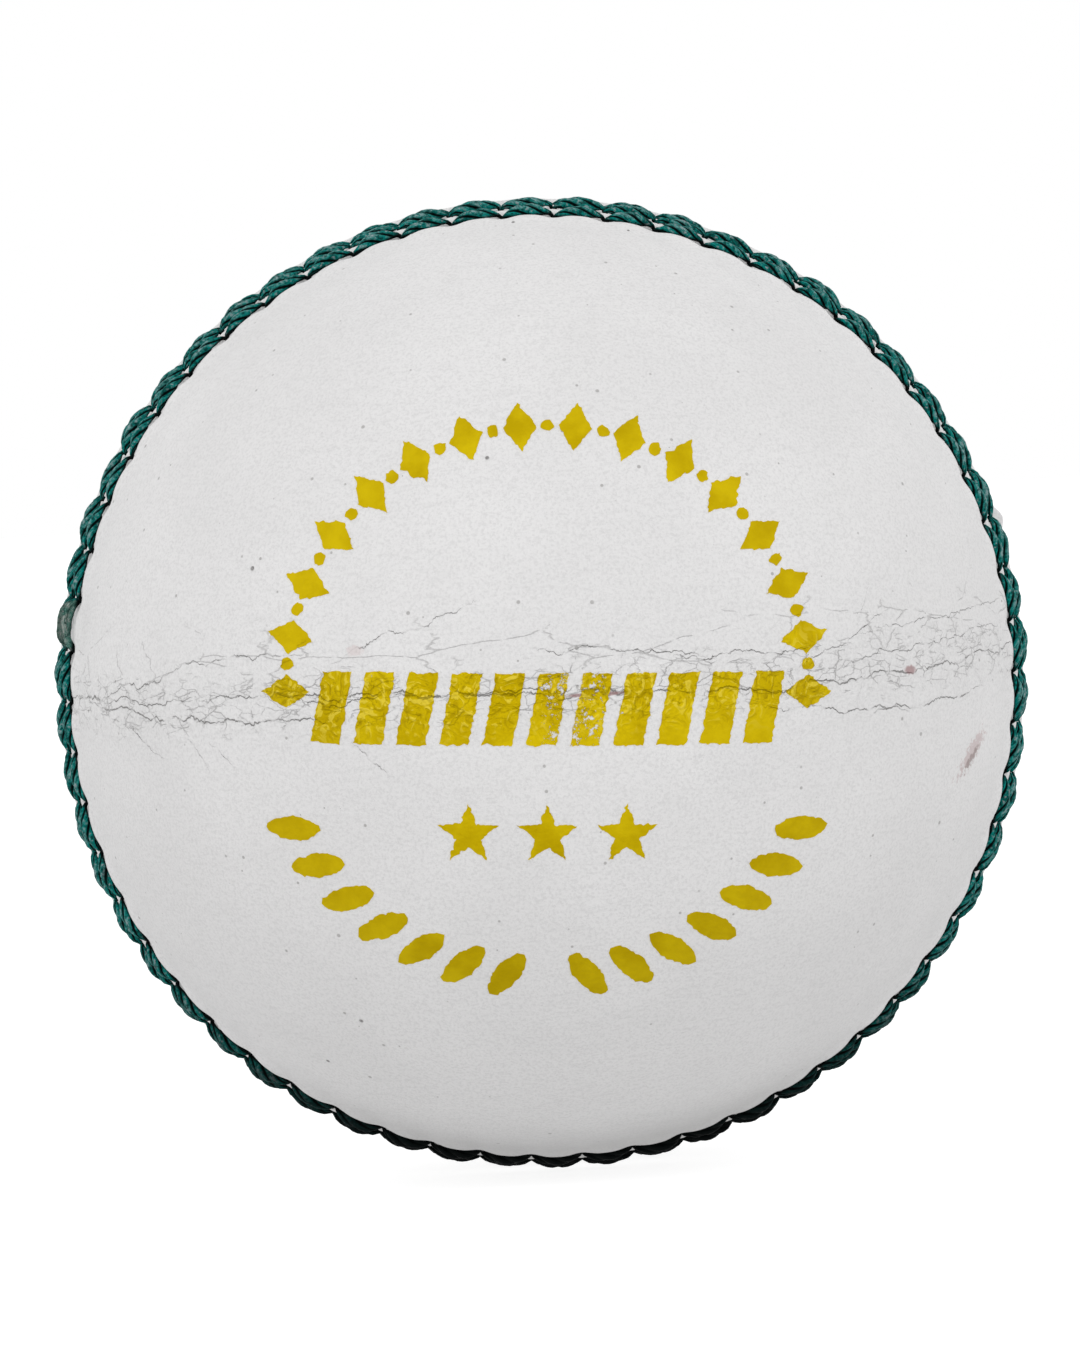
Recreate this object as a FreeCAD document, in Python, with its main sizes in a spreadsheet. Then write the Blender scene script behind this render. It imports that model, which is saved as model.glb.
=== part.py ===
"""Cricket ball of the 142 g size: a quilted cork and yarn core in a four-quarter leather case.

Row frame, millimetres: the origin is the ball's centre and +Z is up. The seam plane is XZ, so the
seam axis is Y. The front cup is on the -Y side with its quarter joint in the plane z = 0, and the
back cup is on the +Y side with its quarter joint in the plane x = 0, a quarter turn round from it.
"""

import FreeCAD
import Part

import math
import os

from FreeCAD import Placement, Rotation, Vector

SIZES = {
    # the leather case
    "ball_radius": 35.0,
    "leather_thickness": 3.4,
    "lip_height": 0.8,
    "lip_half_width": 1.3,
    "lip_round": 0.45,
    # the six rows of seam stitches
    "stitch_count": 58,
    "first_row_offset": 2.35,
    "row_spacing": 2.8,
    "thread_radius": 0.475,
    "stitch_rise": 0.42,
    "stitch_sink": 0.25,
    "valley_radius": 0.62,
    "valley_sink": 0.15,
    "leg_radius": 0.36,
    "awl_radius": 0.39,
    "closing_depth": 1.05,
    "underrun_radius": 0.32,
    # the quarter joints, sewn from the inside
    "joint_stitch_count": 24,
    "joint_stitch_reach": 70.0,
    "joint_thread_radius": 0.28,
    "joint_tunnel_radius": 0.31,
    "joint_bight": 1.6,
    # linings glued inside the quarters
    "lining_gap": 0.04,
    "lining_thickness": 0.7,
    "lining_half_length": 22.0,
    "lining_half_width": 15.0,
    "lining_lean": 40.0,
    # the quilted core, from the inside out
    "nucleus_radius": 12.5,
    "yarn_thickness": 3.4,
    "cork_thickness": 3.6,
    "outer_yarn_thickness": 4.0,
    "layer_gap": 0.02,
    "inner_cork_strips": 6,
    "outer_cork_strips": 8,
    "strip_gap_angle": 2.5,
    "strip_eye_radius": 0.8,
    # the stamped foil
    "foil_gap": 0.01,
    "foil_thickness": 0.06,
    "foil_turn": 3.3,
    "foil_centre_x": 0.3,
    "foil_centre_z": 1.1,
    "foil_arc_radius": 17.9,
    "foil_leaf_radius": 20.0,
    "foil_mark_height": 3.3,
    "foil_bar_height": 4.9,
}

ROWS_PER_CUP = 3
FRONT = -1  # side of the seam plane, along Y
BACK = 1


def make_sheet(doc):
    """The driving dimensions, one row each, with an alias in column B."""
    sheet = doc.addObject("Spreadsheet::Sheet", "Sizes")
    for row, (alias, value) in enumerate(SIZES.items(), start=1):
        sheet.set(f"A{row}", alias)
        sheet.set(f"B{row}", str(value))
        sheet.setAlias(f"B{row}", alias)
    doc.recompute()
    return sheet


def bind(thing, prop, formula):
    """Binds a property to the sheet; a bare word in the formula's braces is an alias."""
    thing.setExpression(prop, formula.replace("{", "Sizes.").replace("}", ""))


def origin_feature(body, role):
    return next(f for f in body.Origin.OriginFeatures if f.Role == role)


def new_sketch(body, name, plane="XY_Plane"):
    sketch = body.newObject("Sketcher::SketchObject", name)
    sketch.AttachmentSupport = [(origin_feature(body, plane), "")]
    sketch.MapMode = "FlatFace"
    return sketch


def constrain(sketch, *arguments):
    import Sketcher

    return sketch.addConstraint(Sketcher.Constraint(*arguments))


def dimension(sketch, name, formula, *arguments):
    """Adds a driving dimension and binds it to the sheet."""
    index = constrain(sketch, *arguments)
    sketch.renameConstraint(index, name)
    bind(sketch, f"Constraints.{name}", formula)


# ---------------------------------------------------------------- the core


def shell_sketch(body, inner, outer, eye=None):
    """Half-ring section in the XY plane about the Y axis, from radius formula inner to outer.

    With no inner formula it is a half disc. An eye keeps the section that far off the axis.
    """
    sheet_value = SIZES
    sketch = new_sketch(body, "Section")
    across = 30.0
    inside = 15.0 if inner else 0.0
    near = sheet_value["strip_eye_radius"] if eye else 0.0
    line = Part.LineSegment
    top, low = math.sqrt(across**2 - near**2), math.sqrt(max(inside**2 - near**2, 0.0))
    circle = Part.Circle(Vector(), Vector(0, 0, 1), across)
    tilt = math.acos(near / across)
    sketch.addGeometry(Part.ArcOfCircle(circle, -tilt, tilt), False)
    constrain(sketch, "Coincident", 0, 3, -1, 1)
    dimension(sketch, "outer", outer, "Radius", 0, across)
    if not inner:
        sketch.addGeometry(line(Vector(0, top, 0), Vector(0, -top, 0)), False)
        constrain(sketch, "Coincident", 0, 2, 1, 1)
        constrain(sketch, "Coincident", 0, 1, 1, 2)
        constrain(sketch, "PointOnObject", 1, 1, -2)
        constrain(sketch, "PointOnObject", 1, 2, -2)
        return sketch
    circle = Part.Circle(Vector(), Vector(0, 0, 1), inside)
    tilt = math.acos(near / inside)
    sketch.addGeometry(Part.ArcOfCircle(circle, -tilt, tilt), False)
    sketch.addGeometry(line(Vector(near, top, 0), Vector(near, low, 0)), False)
    sketch.addGeometry(line(Vector(near, -low, 0), Vector(near, -top, 0)), False)
    constrain(sketch, "Coincident", 1, 3, -1, 1)
    dimension(sketch, "inner", inner, "Radius", 1, inside)
    constrain(sketch, "Coincident", 0, 2, 2, 1)
    constrain(sketch, "Coincident", 1, 2, 2, 2)
    constrain(sketch, "Coincident", 1, 1, 3, 1)
    constrain(sketch, "Coincident", 0, 1, 3, 2)
    constrain(sketch, "Vertical", 2)
    constrain(sketch, "Vertical", 3)
    if eye:
        dimension(sketch, "eye_top", eye, "DistanceX", -1, 1, 2, 1, near)
        dimension(sketch, "eye_low", eye, "DistanceX", -1, 1, 3, 1, near)
    else:
        constrain(sketch, "PointOnObject", 2, 1, -2)
        constrain(sketch, "PointOnObject", 3, 1, -2)
    return sketch


def turned_body(doc, label, inner, outer):
    """A full solid of revolution: a ball, or a closed hollow ball."""
    body = doc.addObject("PartDesign::Body", "Body")
    body.Label = label
    sketch = shell_sketch(body, inner, outer)
    turn = body.newObject("PartDesign::Revolution", "Turn")
    turn.Profile = sketch
    turn.ReferenceAxis = (sketch, ["V_Axis"])
    turn.Angle = 360
    body.Tip = turn
    return body


def cork_strips(doc, label, inner, outer, count, rotation):
    """A layer of cork strips laid round the ball like orange segments, with gaps between them."""
    body = doc.addObject("PartDesign::Body", "Body")
    body.Label = label
    sketch = shell_sketch(body, inner, outer, eye="{strip_eye_radius}")
    turn = body.newObject("PartDesign::Revolution", "Strip")
    turn.Profile = sketch
    turn.ReferenceAxis = (sketch, ["V_Axis"])
    bind(turn, "Angle", f"360 deg / {count} - {{strip_gap_angle}} * 1 deg")
    ring = body.newObject("PartDesign::PolarPattern", "Strips")
    ring.Originals = [turn]
    ring.Axis = (sketch, ["V_Axis"])
    ring.Angle = 360
    bind(ring, "Occurrences", count)
    body.Tip = ring
    body.Placement = Placement(Vector(), rotation)
    return body


def core_radii():
    """Formulas for each core layer's inner and outer radius, from the nucleus out."""
    layers = [
        ("nucleus", None, "{nucleus_radius}"),
        ("inner_yarn", "{nucleus_radius} + {layer_gap}", "{nucleus_radius} + {yarn_thickness}"),
    ]
    steps = [
        ("inner_cork", "{cork_thickness}"),
        ("middle_yarn", "{yarn_thickness}"),
        ("outer_cork", "{cork_thickness}"),
        ("outer_yarn", "{outer_yarn_thickness}"),
    ]
    for name, thickness in steps:
        below = layers[-1][2]
        layers.append((name, f"{below} + {{layer_gap}}", f"{below} + {thickness}"))
    return {name: (inner, outer) for name, inner, outer in layers}


def make_core(doc):
    radii = core_radii()
    upright = Rotation(Vector(1, 0, 0), 90)
    sideways = Rotation(Vector(0, 0, 1), 90)
    return [
        turned_body(doc, "cork_rubber_nucleus", *radii["nucleus"]),
        turned_body(doc, "inner_yarn_winding", *radii["inner_yarn"]),
        cork_strips(doc, "inner_cork_strips", *radii["inner_cork"], "{inner_cork_strips}", upright),
        turned_body(doc, "middle_yarn_winding", *radii["middle_yarn"]),
        cork_strips(doc, "outer_cork_strips", *radii["outer_cork"], "{outer_cork_strips}", sideways),
        turned_body(doc, "outer_yarn_winding", *radii["outer_yarn"]),
    ]


# ---------------------------------------------------------------- the leather case


def inner_radius():
    return SIZES["ball_radius"] - SIZES["leather_thickness"]


def row_offset(row):
    """Distance of a stitch row from the seam plane; row 0 lies beside the lip."""
    return SIZES["first_row_offset"] + row * SIZES["row_spacing"]


def row_direction(row, side):
    """Unit vector from the ball's centre to the row, in the half plane x > 0, z = 0."""
    sine = row_offset(row) / SIZES["ball_radius"]
    return Vector(math.sqrt(1 - sine**2), side * sine, 0)


def cup_sketch(body, side):
    """Section of a cup: the raised lip at the seam, the round outside and the round inside."""
    r, t = SIZES["ball_radius"], SIZES["leather_thickness"]
    h, w, f = SIZES["lip_height"], SIZES["lip_half_width"], SIZES["lip_round"]
    s = side
    foot = Vector(math.sqrt(r**2 - w**2), s * w, 0)
    shoulder = Vector(r + h - f, s * w, 0)
    crest = Vector(r + h, s * (w - f), 0)
    middle = Vector(r + h - f, s * (w - f), 0)
    diagonal = middle + Vector(1, s, 0).normalize() * f
    sketch = new_sketch(body, "CupSection")
    line = Part.LineSegment

    def arc_between(radius, start, end):
        """Arc about the centre, counter-clockwise from the lower end to the upper one."""
        angles = sorted(math.atan2(p.y, p.x) for p in (start, end))
        return Part.ArcOfCircle(Part.Circle(Vector(), Vector(0, 0, 1), radius), *angles)

    sketch.addGeometry(line(Vector(r - t, 0, 0), Vector(r + h, 0, 0)), False)
    sketch.addGeometry(line(Vector(r + h, 0, 0), crest), False)
    round_arc = Part.Arc(crest, diagonal, shoulder) if s > 0 else Part.Arc(shoulder, diagonal, crest)
    sketch.addGeometry(round_arc, False)
    sketch.addGeometry(line(shoulder, foot), False)
    sketch.addGeometry(arc_between(r, foot, Vector(0, s * r, 0)), False)
    sketch.addGeometry(line(Vector(0, s * r, 0), Vector(0, s * (r - t), 0)), False)
    sketch.addGeometry(arc_between(r - t, Vector(r - t, 0, 0), Vector(0, s * (r - t), 0)), False)
    near, far = (1, 2) if s > 0 else (2, 1)  # an arc's ends nearer the seam and the pole
    constrain(sketch, "PointOnObject", 0, 1, -1)
    constrain(sketch, "Horizontal", 0)
    constrain(sketch, "Coincident", 0, 2, 1, 1)
    constrain(sketch, "Vertical", 1)
    constrain(sketch, "Tangent", 1, 2, 2, near)
    constrain(sketch, "Tangent", 2, far, 3, 1)
    constrain(sketch, "Horizontal", 3)
    constrain(sketch, "Coincident", 3, 2, 4, near)
    constrain(sketch, "Coincident", 4, 3, -1, 1)
    constrain(sketch, "Coincident", 4, far, 5, 1)
    constrain(sketch, "PointOnObject", 5, 1, -2)
    constrain(sketch, "PointOnObject", 5, 2, -2)
    constrain(sketch, "Coincident", 5, 2, 6, far)
    constrain(sketch, "Coincident", 6, 3, -1, 1)
    constrain(sketch, "Coincident", 6, near, 0, 1)
    dimension(sketch, "outside", "{ball_radius}", "Radius", 4, r)
    dimension(sketch, "inside", "{ball_radius} - {leather_thickness}", "Radius", 6, r - t)
    dimension(sketch, "lip_round", "{lip_round}", "Radius", 2, f)
    dimension(sketch, "lip_top", "{ball_radius} + {lip_height}", "DistanceX", -1, 1, 0, 2, r + h)
    reach = (-1, 1, 3, 1) if s > 0 else (3, 1, -1, 1)
    dimension(sketch, "lip_width", "{lip_half_width}", "DistanceY", *reach, w)
    return sketch


def valley_sketch(body, side):
    """One circle for each stitch row: the valley that the stitches pull into the leather."""
    sketch = new_sketch(body, "Valleys")
    radius = SIZES["ball_radius"] - SIZES["valley_sink"]
    for row in range(ROWS_PER_CUP):
        centre = row_direction(row, side) * radius
        circle = Part.Circle(centre, Vector(0, 0, 1), SIZES["valley_radius"])
        sketch.addGeometry(circle, False)
        offset = f"({{first_row_offset}} + {row} * {{row_spacing}})"
        scale = "({ball_radius} - {valley_sink}) / {ball_radius}"
        across = f"{scale} * sqrt({{ball_radius}}^2 - {offset}^2)"
        up = (-1, 1, row, 3) if side > 0 else (row, 3, -1, 1)
        dimension(sketch, f"wide{row}", "{valley_radius}", "Radius", row, SIZES["valley_radius"])
        dimension(sketch, f"across{row}", across, "DistanceX", -1, 1, row, 3, centre.x)
        dimension(sketch, f"up{row}", f"{scale} * {offset}", "DistanceY", *up, abs(centre.y))
    return sketch


def blank_quarter(doc, side, turn_angle):
    """Half a cup before its awl holes are made, turned about the seam axis into its place."""
    body = doc.addObject("PartDesign::Body", "Blank")
    section = cup_sketch(body, side)
    turn = body.newObject("PartDesign::Revolution", "Cup")
    turn.Profile = section
    turn.ReferenceAxis = (section, ["V_Axis"])
    turn.Angle = 180
    valleys = valley_sketch(body, side)
    groove = body.newObject("PartDesign::Groove", "StitchValleys")
    groove.Profile = valleys
    groove.ReferenceAxis = (valleys, ["V_Axis"])
    groove.Angle = 360
    body.Tip = groove
    body.Placement = Placement(Vector(), Rotation(Vector(0, 1, 0), turn_angle))
    return body


def hole_angle(index):
    """Angle of an awl hole about the seam axis. The quarter step keeps holes off both joints."""
    return (index + 0.25) * 360.0 / SIZES["stitch_count"]


def turned(shape, angle):
    """A copy of the shape, turned about the seam axis."""
    copy = shape.copy()
    copy.rotate(Vector(), Vector(0, 1, 0), angle)
    return copy


def rod(start, end, radius):
    return Part.makeCylinder(radius, (end - start).Length, start, end - start)


def closing_point(side):
    """Where the closing thread turns from going in to running under the lip."""
    return row_direction(0, side) * (SIZES["ball_radius"] - SIZES["closing_depth"])


def awl_hole(row, side):
    """One awl hole, in the half plane z = 0: straight in, or in and then out under the lip."""
    radius = SIZES["awl_radius"]
    mouth = row_direction(row, side) * (SIZES["ball_radius"] + 0.2)
    if row > 0:
        return rod(mouth, row_direction(row, side) * (inner_radius() - 0.5), radius)
    bend = closing_point(side)
    under_lip = Vector(bend.x, -side * 0.5, 0)
    pieces = [rod(bend, under_lip, radius), Part.makeSphere(radius, bend)]
    return rod(mouth, bend, radius).fuse(pieces)


def make_awl_holes(doc, side):
    """All the awl holes of one cup, as one tool."""
    shapes = []
    for row in range(ROWS_PER_CUP):
        hole = awl_hole(row, side)
        shapes += [turned(hole, hole_angle(k)) for k in range(SIZES["stitch_count"])]
    tool = doc.addObject("Part::Feature", "AwlHoles")
    tool.Shape = Part.makeCompound(shapes)
    return tool


def joint_stations():
    """Angles of the hidden stitches along a quarter joint, from the pole."""
    count, reach = SIZES["joint_stitch_count"], SIZES["joint_stitch_reach"]
    return [-reach + 2 * reach * k / (count - 1) for k in range(count)]


def joint_arc(radius):
    """The buried half ring of a hidden stitch, across z = 0 at the front pole."""
    centre = Vector(0, -(inner_radius() - SIZES["joint_thread_radius"] - 0.07), 0)
    bight = SIZES["joint_bight"]
    disc = Part.Face(Part.Wire(Part.makeCircle(radius, centre + Vector(0, 0, bight), Vector(0, 1, 0))))
    return disc.revolve(centre, Vector(1, 0, 0), 180), centre


def place_on_joint(shape, station, side):
    """Turns a shape from the front pole along its joint; the back joint is a quarter turn round."""
    copy = shape.copy()
    copy.rotate(Vector(), Vector(0, 0, 1), station)
    if side == BACK:
        copy.rotate(Vector(), Vector(1, 0, 0), 180)
        copy.rotate(Vector(), Vector(0, 1, 0), 90)
    return copy


def make_joint_tunnels(doc, side):
    """The curved awl tunnels of the hidden joint stitches, as one tool."""
    tunnel, _ = joint_arc(SIZES["joint_tunnel_radius"])
    tool = doc.addObject("Part::Feature", "JointTunnels")
    tool.Shape = Part.makeCompound([place_on_joint(tunnel, a, side) for a in joint_stations()])
    return tool


def make_quarter(doc, label, side, turn_angle, awl_holes, tunnels):
    """One leather quarter: the turned blank, less its awl holes and joint tunnels."""
    blank = blank_quarter(doc, side, turn_angle)
    pierced = doc.addObject("Part::Cut", "Pierced")
    pierced.Base, pierced.Tool = blank, awl_holes
    quarter = doc.addObject("Part::Cut", "Quarter")
    quarter.Label = label
    quarter.Base, quarter.Tool = pierced, tunnels
    return quarter


def make_case(doc):
    quarters = []
    places = {
        FRONT: {"front_lower_quarter": 0, "front_upper_quarter": 180},
        BACK: {"back_right_quarter": 90, "back_left_quarter": -90},
    }
    for side, halves in places.items():
        awl_holes = make_awl_holes(doc, side)
        tunnels = make_joint_tunnels(doc, side)
        for label, turn_angle in halves.items():
            quarters.append(make_quarter(doc, label, side, turn_angle, awl_holes, tunnels))
    return quarters


# ---------------------------------------------------------------- linings


def make_lining(doc, label, rotation):
    """A thin oval of leather, glued inside one quarter."""
    outer = doc.addObject("Part::Sphere", "LiningOuter")
    inner = doc.addObject("Part::Sphere", "LiningInner")
    bind(outer, "Radius", "{ball_radius} - {leather_thickness} - {lining_gap}")
    bind(inner, "Radius", "{ball_radius} - {leather_thickness} - {lining_gap} - {lining_thickness}")
    shell = doc.addObject("Part::Cut", "LiningShell")
    shell.Base, shell.Tool = outer, inner
    oval = doc.addObject("Part::Ellipse", "LiningOval")
    bind(oval, "MajorRadius", "{lining_half_length}")
    bind(oval, "MinorRadius", "{lining_half_width}")
    block = doc.addObject("Part::Extrusion", "LiningBlock")
    block.Base = oval
    block.DirMode = "Custom"
    block.Dir = Vector(0, 0, 1)
    bind(block, "LengthFwd", "{ball_radius}")
    block.Solid = True
    lining = doc.addObject("Part::Common", "Lining")
    lining.Label = label
    lining.Base, lining.Tool = shell, block
    lining.Placement = Placement(Vector(), rotation)
    return lining


def make_linings(doc):
    """Each oval leans from its pole towards the middle of its own quarter."""
    lean = SIZES["lining_lean"]
    about_x, about_y = Vector(1, 0, 0), Vector(0, 1, 0)
    linings = []
    for side, roll, labels in (
        (FRONT, 0, ("front_upper_lining", "front_lower_lining")),
        (BACK, 90, ("back_right_lining", "back_left_lining")),
    ):
        to_pole = Rotation(about_x, -90 * side)
        for sign, label in zip((1, -1), labels):
            tilt = Rotation(about_x, sign * side * lean)
            linings.append(make_lining(doc, label, Rotation(about_y, roll) * tilt * to_pole))
    return linings


# ---------------------------------------------------------------- threads


def sector():
    """The wedge that one stitch fills, so that neighbours meet face to face in their shared hole."""
    step = 360.0 / SIZES["stitch_count"]
    reach = SIZES["ball_radius"] + 5
    wedge = Part.makeCylinder(reach, 2 * reach, Vector(0, -reach, 0), Vector(0, 1, 0), step)
    middle = wedge.CenterOfMass
    wedge.rotate(Vector(), Vector(0, 1, 0), math.degrees(math.atan2(middle.z, middle.x)))
    return wedge


def surface_run(row, side):
    """The part of a stitch that shows: a crown of thread from one hole to the next."""
    r, step = SIZES["ball_radius"], 360.0 / SIZES["stitch_count"]
    crown = row_direction(row, side) * (r + SIZES["stitch_rise"])
    end = row_direction(row, side) * (r - SIZES["stitch_sink"])
    turn = Rotation(Vector(0, 1, 0), step / 2)
    first, last = turn.multVec(end), turn.inverted().multVec(end)
    centre = Part.Arc(first, crown, last).toShape().Curve.Center
    axis = (first - centre).cross(crown - centre)
    tangent = axis.cross(first - centre)
    disc = Part.Face(Part.Wire(Part.makeCircle(SIZES["thread_radius"], first, tangent)))
    sweep = math.degrees((first - centre).getAngle(last - centre))
    return disc.revolve(centre, axis, sweep), first, last


def cup_stitch(row, side):
    """A stitch of the outer rows: over the leather, down two holes, and back under it."""
    run, first, last = surface_run(row, side)
    step = 360.0 / SIZES["stitch_count"]
    under = inner_radius() - SIZES["underrun_radius"] - SIZES["lining_gap"]
    low = row_direction(row, side) * under
    thin = SIZES["underrun_radius"]
    disc = Part.Face(Part.Wire(Part.makeCircle(thin, low, Vector(0, 0, 1))))
    under_run = disc.revolve(Vector(), Vector(0, 1, 0), 1.2 * step)
    under_run.rotate(Vector(), Vector(0, 1, 0), -0.6 * step)
    pieces = [under_run]
    for top in (first, last):
        bottom = Vector(top).normalize() * under
        pieces += [rod(top, bottom, SIZES["leg_radius"]), Part.makeSphere(SIZES["leg_radius"], top)]
    return run.fuse(pieces).common(sector())


def closing_stitch():
    """A stitch of the two rows beside the lip: its thread goes through both cups, under the lip."""
    pieces, bends = [], {}
    for side in (FRONT, BACK):
        run, first, last = surface_run(0, side)
        depth = SIZES["ball_radius"] - SIZES["closing_depth"]
        pieces.append(run)
        for name, top in (("first", first), ("last", last)):
            bend = Vector(top).normalize() * depth
            pieces += [rod(top, bend, SIZES["leg_radius"])]
            pieces += [Part.makeSphere(SIZES["leg_radius"], p) for p in (top, bend)]
            bends[side, name] = bend
    for name in ("first", "last"):
        pieces.append(rod(bends[FRONT, name], bends[BACK, name], SIZES["leg_radius"]))
    return pieces[0].fuse(pieces[1:]).common(sector())


def stitch_row(doc, label, stitch):
    """All the stitches of a row, each a solid of its own."""
    row = doc.addObject("Part::Feature", "StitchRow")
    row.Label = label
    copies = [turned(stitch, hole_angle(k + 0.5)) for k in range(SIZES["stitch_count"])]
    row.Shape = Part.makeCompound([s for copy in copies for s in copy.Solids])
    return row


def joint_stitch(doc, label, side):
    """The hidden stitches of one quarter joint, each a closed loop through both quarters."""
    thin, bight = SIZES["joint_thread_radius"], SIZES["joint_bight"]
    arc, centre = joint_arc(thin)
    ends = [centre + Vector(0, 0, bight), centre - Vector(0, 0, bight)]
    floor = rod(ends[0], ends[1], thin).fuse([Part.makeSphere(thin, p) for p in ends])
    loop = floor.fuse(arc)
    row = doc.addObject("Part::Feature", "JointStitches")
    row.Label = label
    row.Shape = Part.makeCompound(
        [s for a in joint_stations() for s in place_on_joint(loop, a, side).Solids]
    )
    return row


def make_threads(doc):
    rows = [stitch_row(doc, "closing_stitches", closing_stitch())]
    for side, cup in ((FRONT, "front"), (BACK, "back")):
        for row, place in ((1, "middle"), (2, "outer")):
            rows.append(stitch_row(doc, f"{cup}_{place}_stitches", cup_stitch(row, side)))
        rows.append(joint_stitch(doc, f"{cup}_joint_stitches", side))
    return rows


# ---------------------------------------------------------------- the stamped foil


def flat_face(points):
    return Part.Face(Part.makePolygon([Vector(x, 0, z) for x, z in points + points[:1]]))


def lozenge(width, height):
    return flat_face([(0, height / 2), (width / 2, 0), (0, -height / 2), (-width / 2, 0)])


def dot(radius):
    return Part.Face(Part.Wire(Part.makeCircle(radius, Vector(), Vector(0, 1, 0))))


def slanted_bar(width, height, lean):
    half = height / 2
    return flat_face([(-width / 2 + lean, half), (width / 2 + lean, half),
                      (width / 2 - lean, -half), (-width / 2 - lean, -half)])


def star(radius, waist=0.42):
    turns = [math.radians(90 + 36 * k) for k in range(10)]
    radii = [radius if k % 2 == 0 else radius * waist for k in range(10)]
    return flat_face([(q * math.cos(a), q * math.sin(a)) for q, a in zip(radii, turns)])


def leaf(length, width):
    """A pointed oval of two arcs, along z."""
    tip, foot = Vector(0, 0, length / 2), Vector(0, 0, -length / 2)
    right, left = Vector(width / 2, 0, 0), Vector(-width / 2, 0, 0)
    edges = [Part.Arc(foot, right, tip).toShape(), Part.Arc(tip, left, foot).toShape()]
    return Part.Face(Part.Wire(edges))


def put(face, x, z, turn=0.0):
    """A copy of a flat mark, turned in its own plane and moved to (x, z)."""
    copy = face.copy()
    copy.rotate(Vector(), Vector(0, 1, 0), -turn)
    copy.translate(Vector(x, 0, z))
    return copy


def on_ring(face, radius, angle, turn=0.0):
    """A copy of a mark on a ring round the stamp's centre, standing radially."""
    a = math.radians(angle)
    return put(face, radius * math.cos(a), radius * math.sin(a), angle - 90 + turn)


def foil_marks():
    """The flat ornament: a chain of lozenges and dots, a striped band, stars and two branches."""
    marks = []
    height = SIZES["foil_mark_height"]
    chain_first, chain_last, lozenges = -1.0, 181.0, 16
    step = (chain_last - chain_first) / (lozenges - 1)
    for k in range(lozenges):
        marks.append(on_ring(lozenge(2.3, height), SIZES["foil_arc_radius"], chain_first + k * step))
        if k < lozenges - 1:
            marks.append(on_ring(dot(0.42), SIZES["foil_arc_radius"], chain_first + (k + 0.5) * step))
    bars, bar_pitch = 11, 2.95
    for k in range(bars):
        bar = slanted_bar(2.0, SIZES["foil_bar_height"], 0.45)
        marks.append(put(bar, (k - (bars - 1) / 2) * bar_pitch, -1.3))
    for k in (-1, 0, 1):
        marks.append(put(star(2.15), 5.4 * k, -9.9))
    leaves, leaf_step = 7, 8.8
    for k in range(leaves):
        for side in (-1, 1):
            angle = 270 + side * (8.0 + k * leaf_step)
            marks.append(on_ring(leaf(height * 1.15, 1.7), SIZES["foil_leaf_radius"], angle, side * 32))
    return marks


def make_foil(doc):
    """The marks, carried straight back onto the front of the ball as a thin film."""
    low = SIZES["ball_radius"] + SIZES["foil_gap"]
    film = Part.makeSphere(low + SIZES["foil_thickness"]).cut(Part.makeSphere(low))
    centre = Vector(SIZES["foil_centre_x"], 0, SIZES["foil_centre_z"])
    solids = []
    for mark in foil_marks():
        mark.translate(centre + Vector(0, -SIZES["ball_radius"] - 2, 0))
        block = mark.extrude(Vector(0, SIZES["ball_radius"], 0))
        block.rotate(Vector(), Vector(0, 1, 0), SIZES["foil_turn"])
        solids += film.common(block).Solids
    foil = doc.addObject("Part::Feature", "Foil")
    foil.Label = "foil_stamp"
    foil.Shape = Part.makeCompound(solids)
    return foil


# ---------------------------------------------------------------- build and export


def check(doc, parts):
    """Stops if any object failed, or any sub-part is not made of valid, closed solids."""
    failed = [o.Name for o in doc.Objects if "Invalid" in o.State or "Error" in o.State]
    if failed:
        raise RuntimeError(f"these objects failed: {failed}")
    for part in parts:
        shape = part.Shape
        if shape.isNull() or not shape.isValid() or not shape.Solids:
            raise RuntimeError(f"{part.Label} has no valid solid")
        print(f"{part.Label}: {len(shape.Solids)} solids, {shape.Volume:.2f} mm3")


def export(parts):
    os.makedirs("parts", exist_ok=True)
    for part in parts:
        part.Shape.exportStep(f"parts/{part.Label}.step")


def main():
    doc = FreeCAD.newDocument("CricketBall")
    make_sheet(doc)
    parts = make_core(doc) + make_case(doc) + make_linings(doc) + make_threads(doc)
    parts.append(make_foil(doc))
    doc.recompute()
    check(doc, parts)
    export(parts)


main()
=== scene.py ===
import math
import random

import bpy
from mathutils import Matrix, Vector, noise


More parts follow.
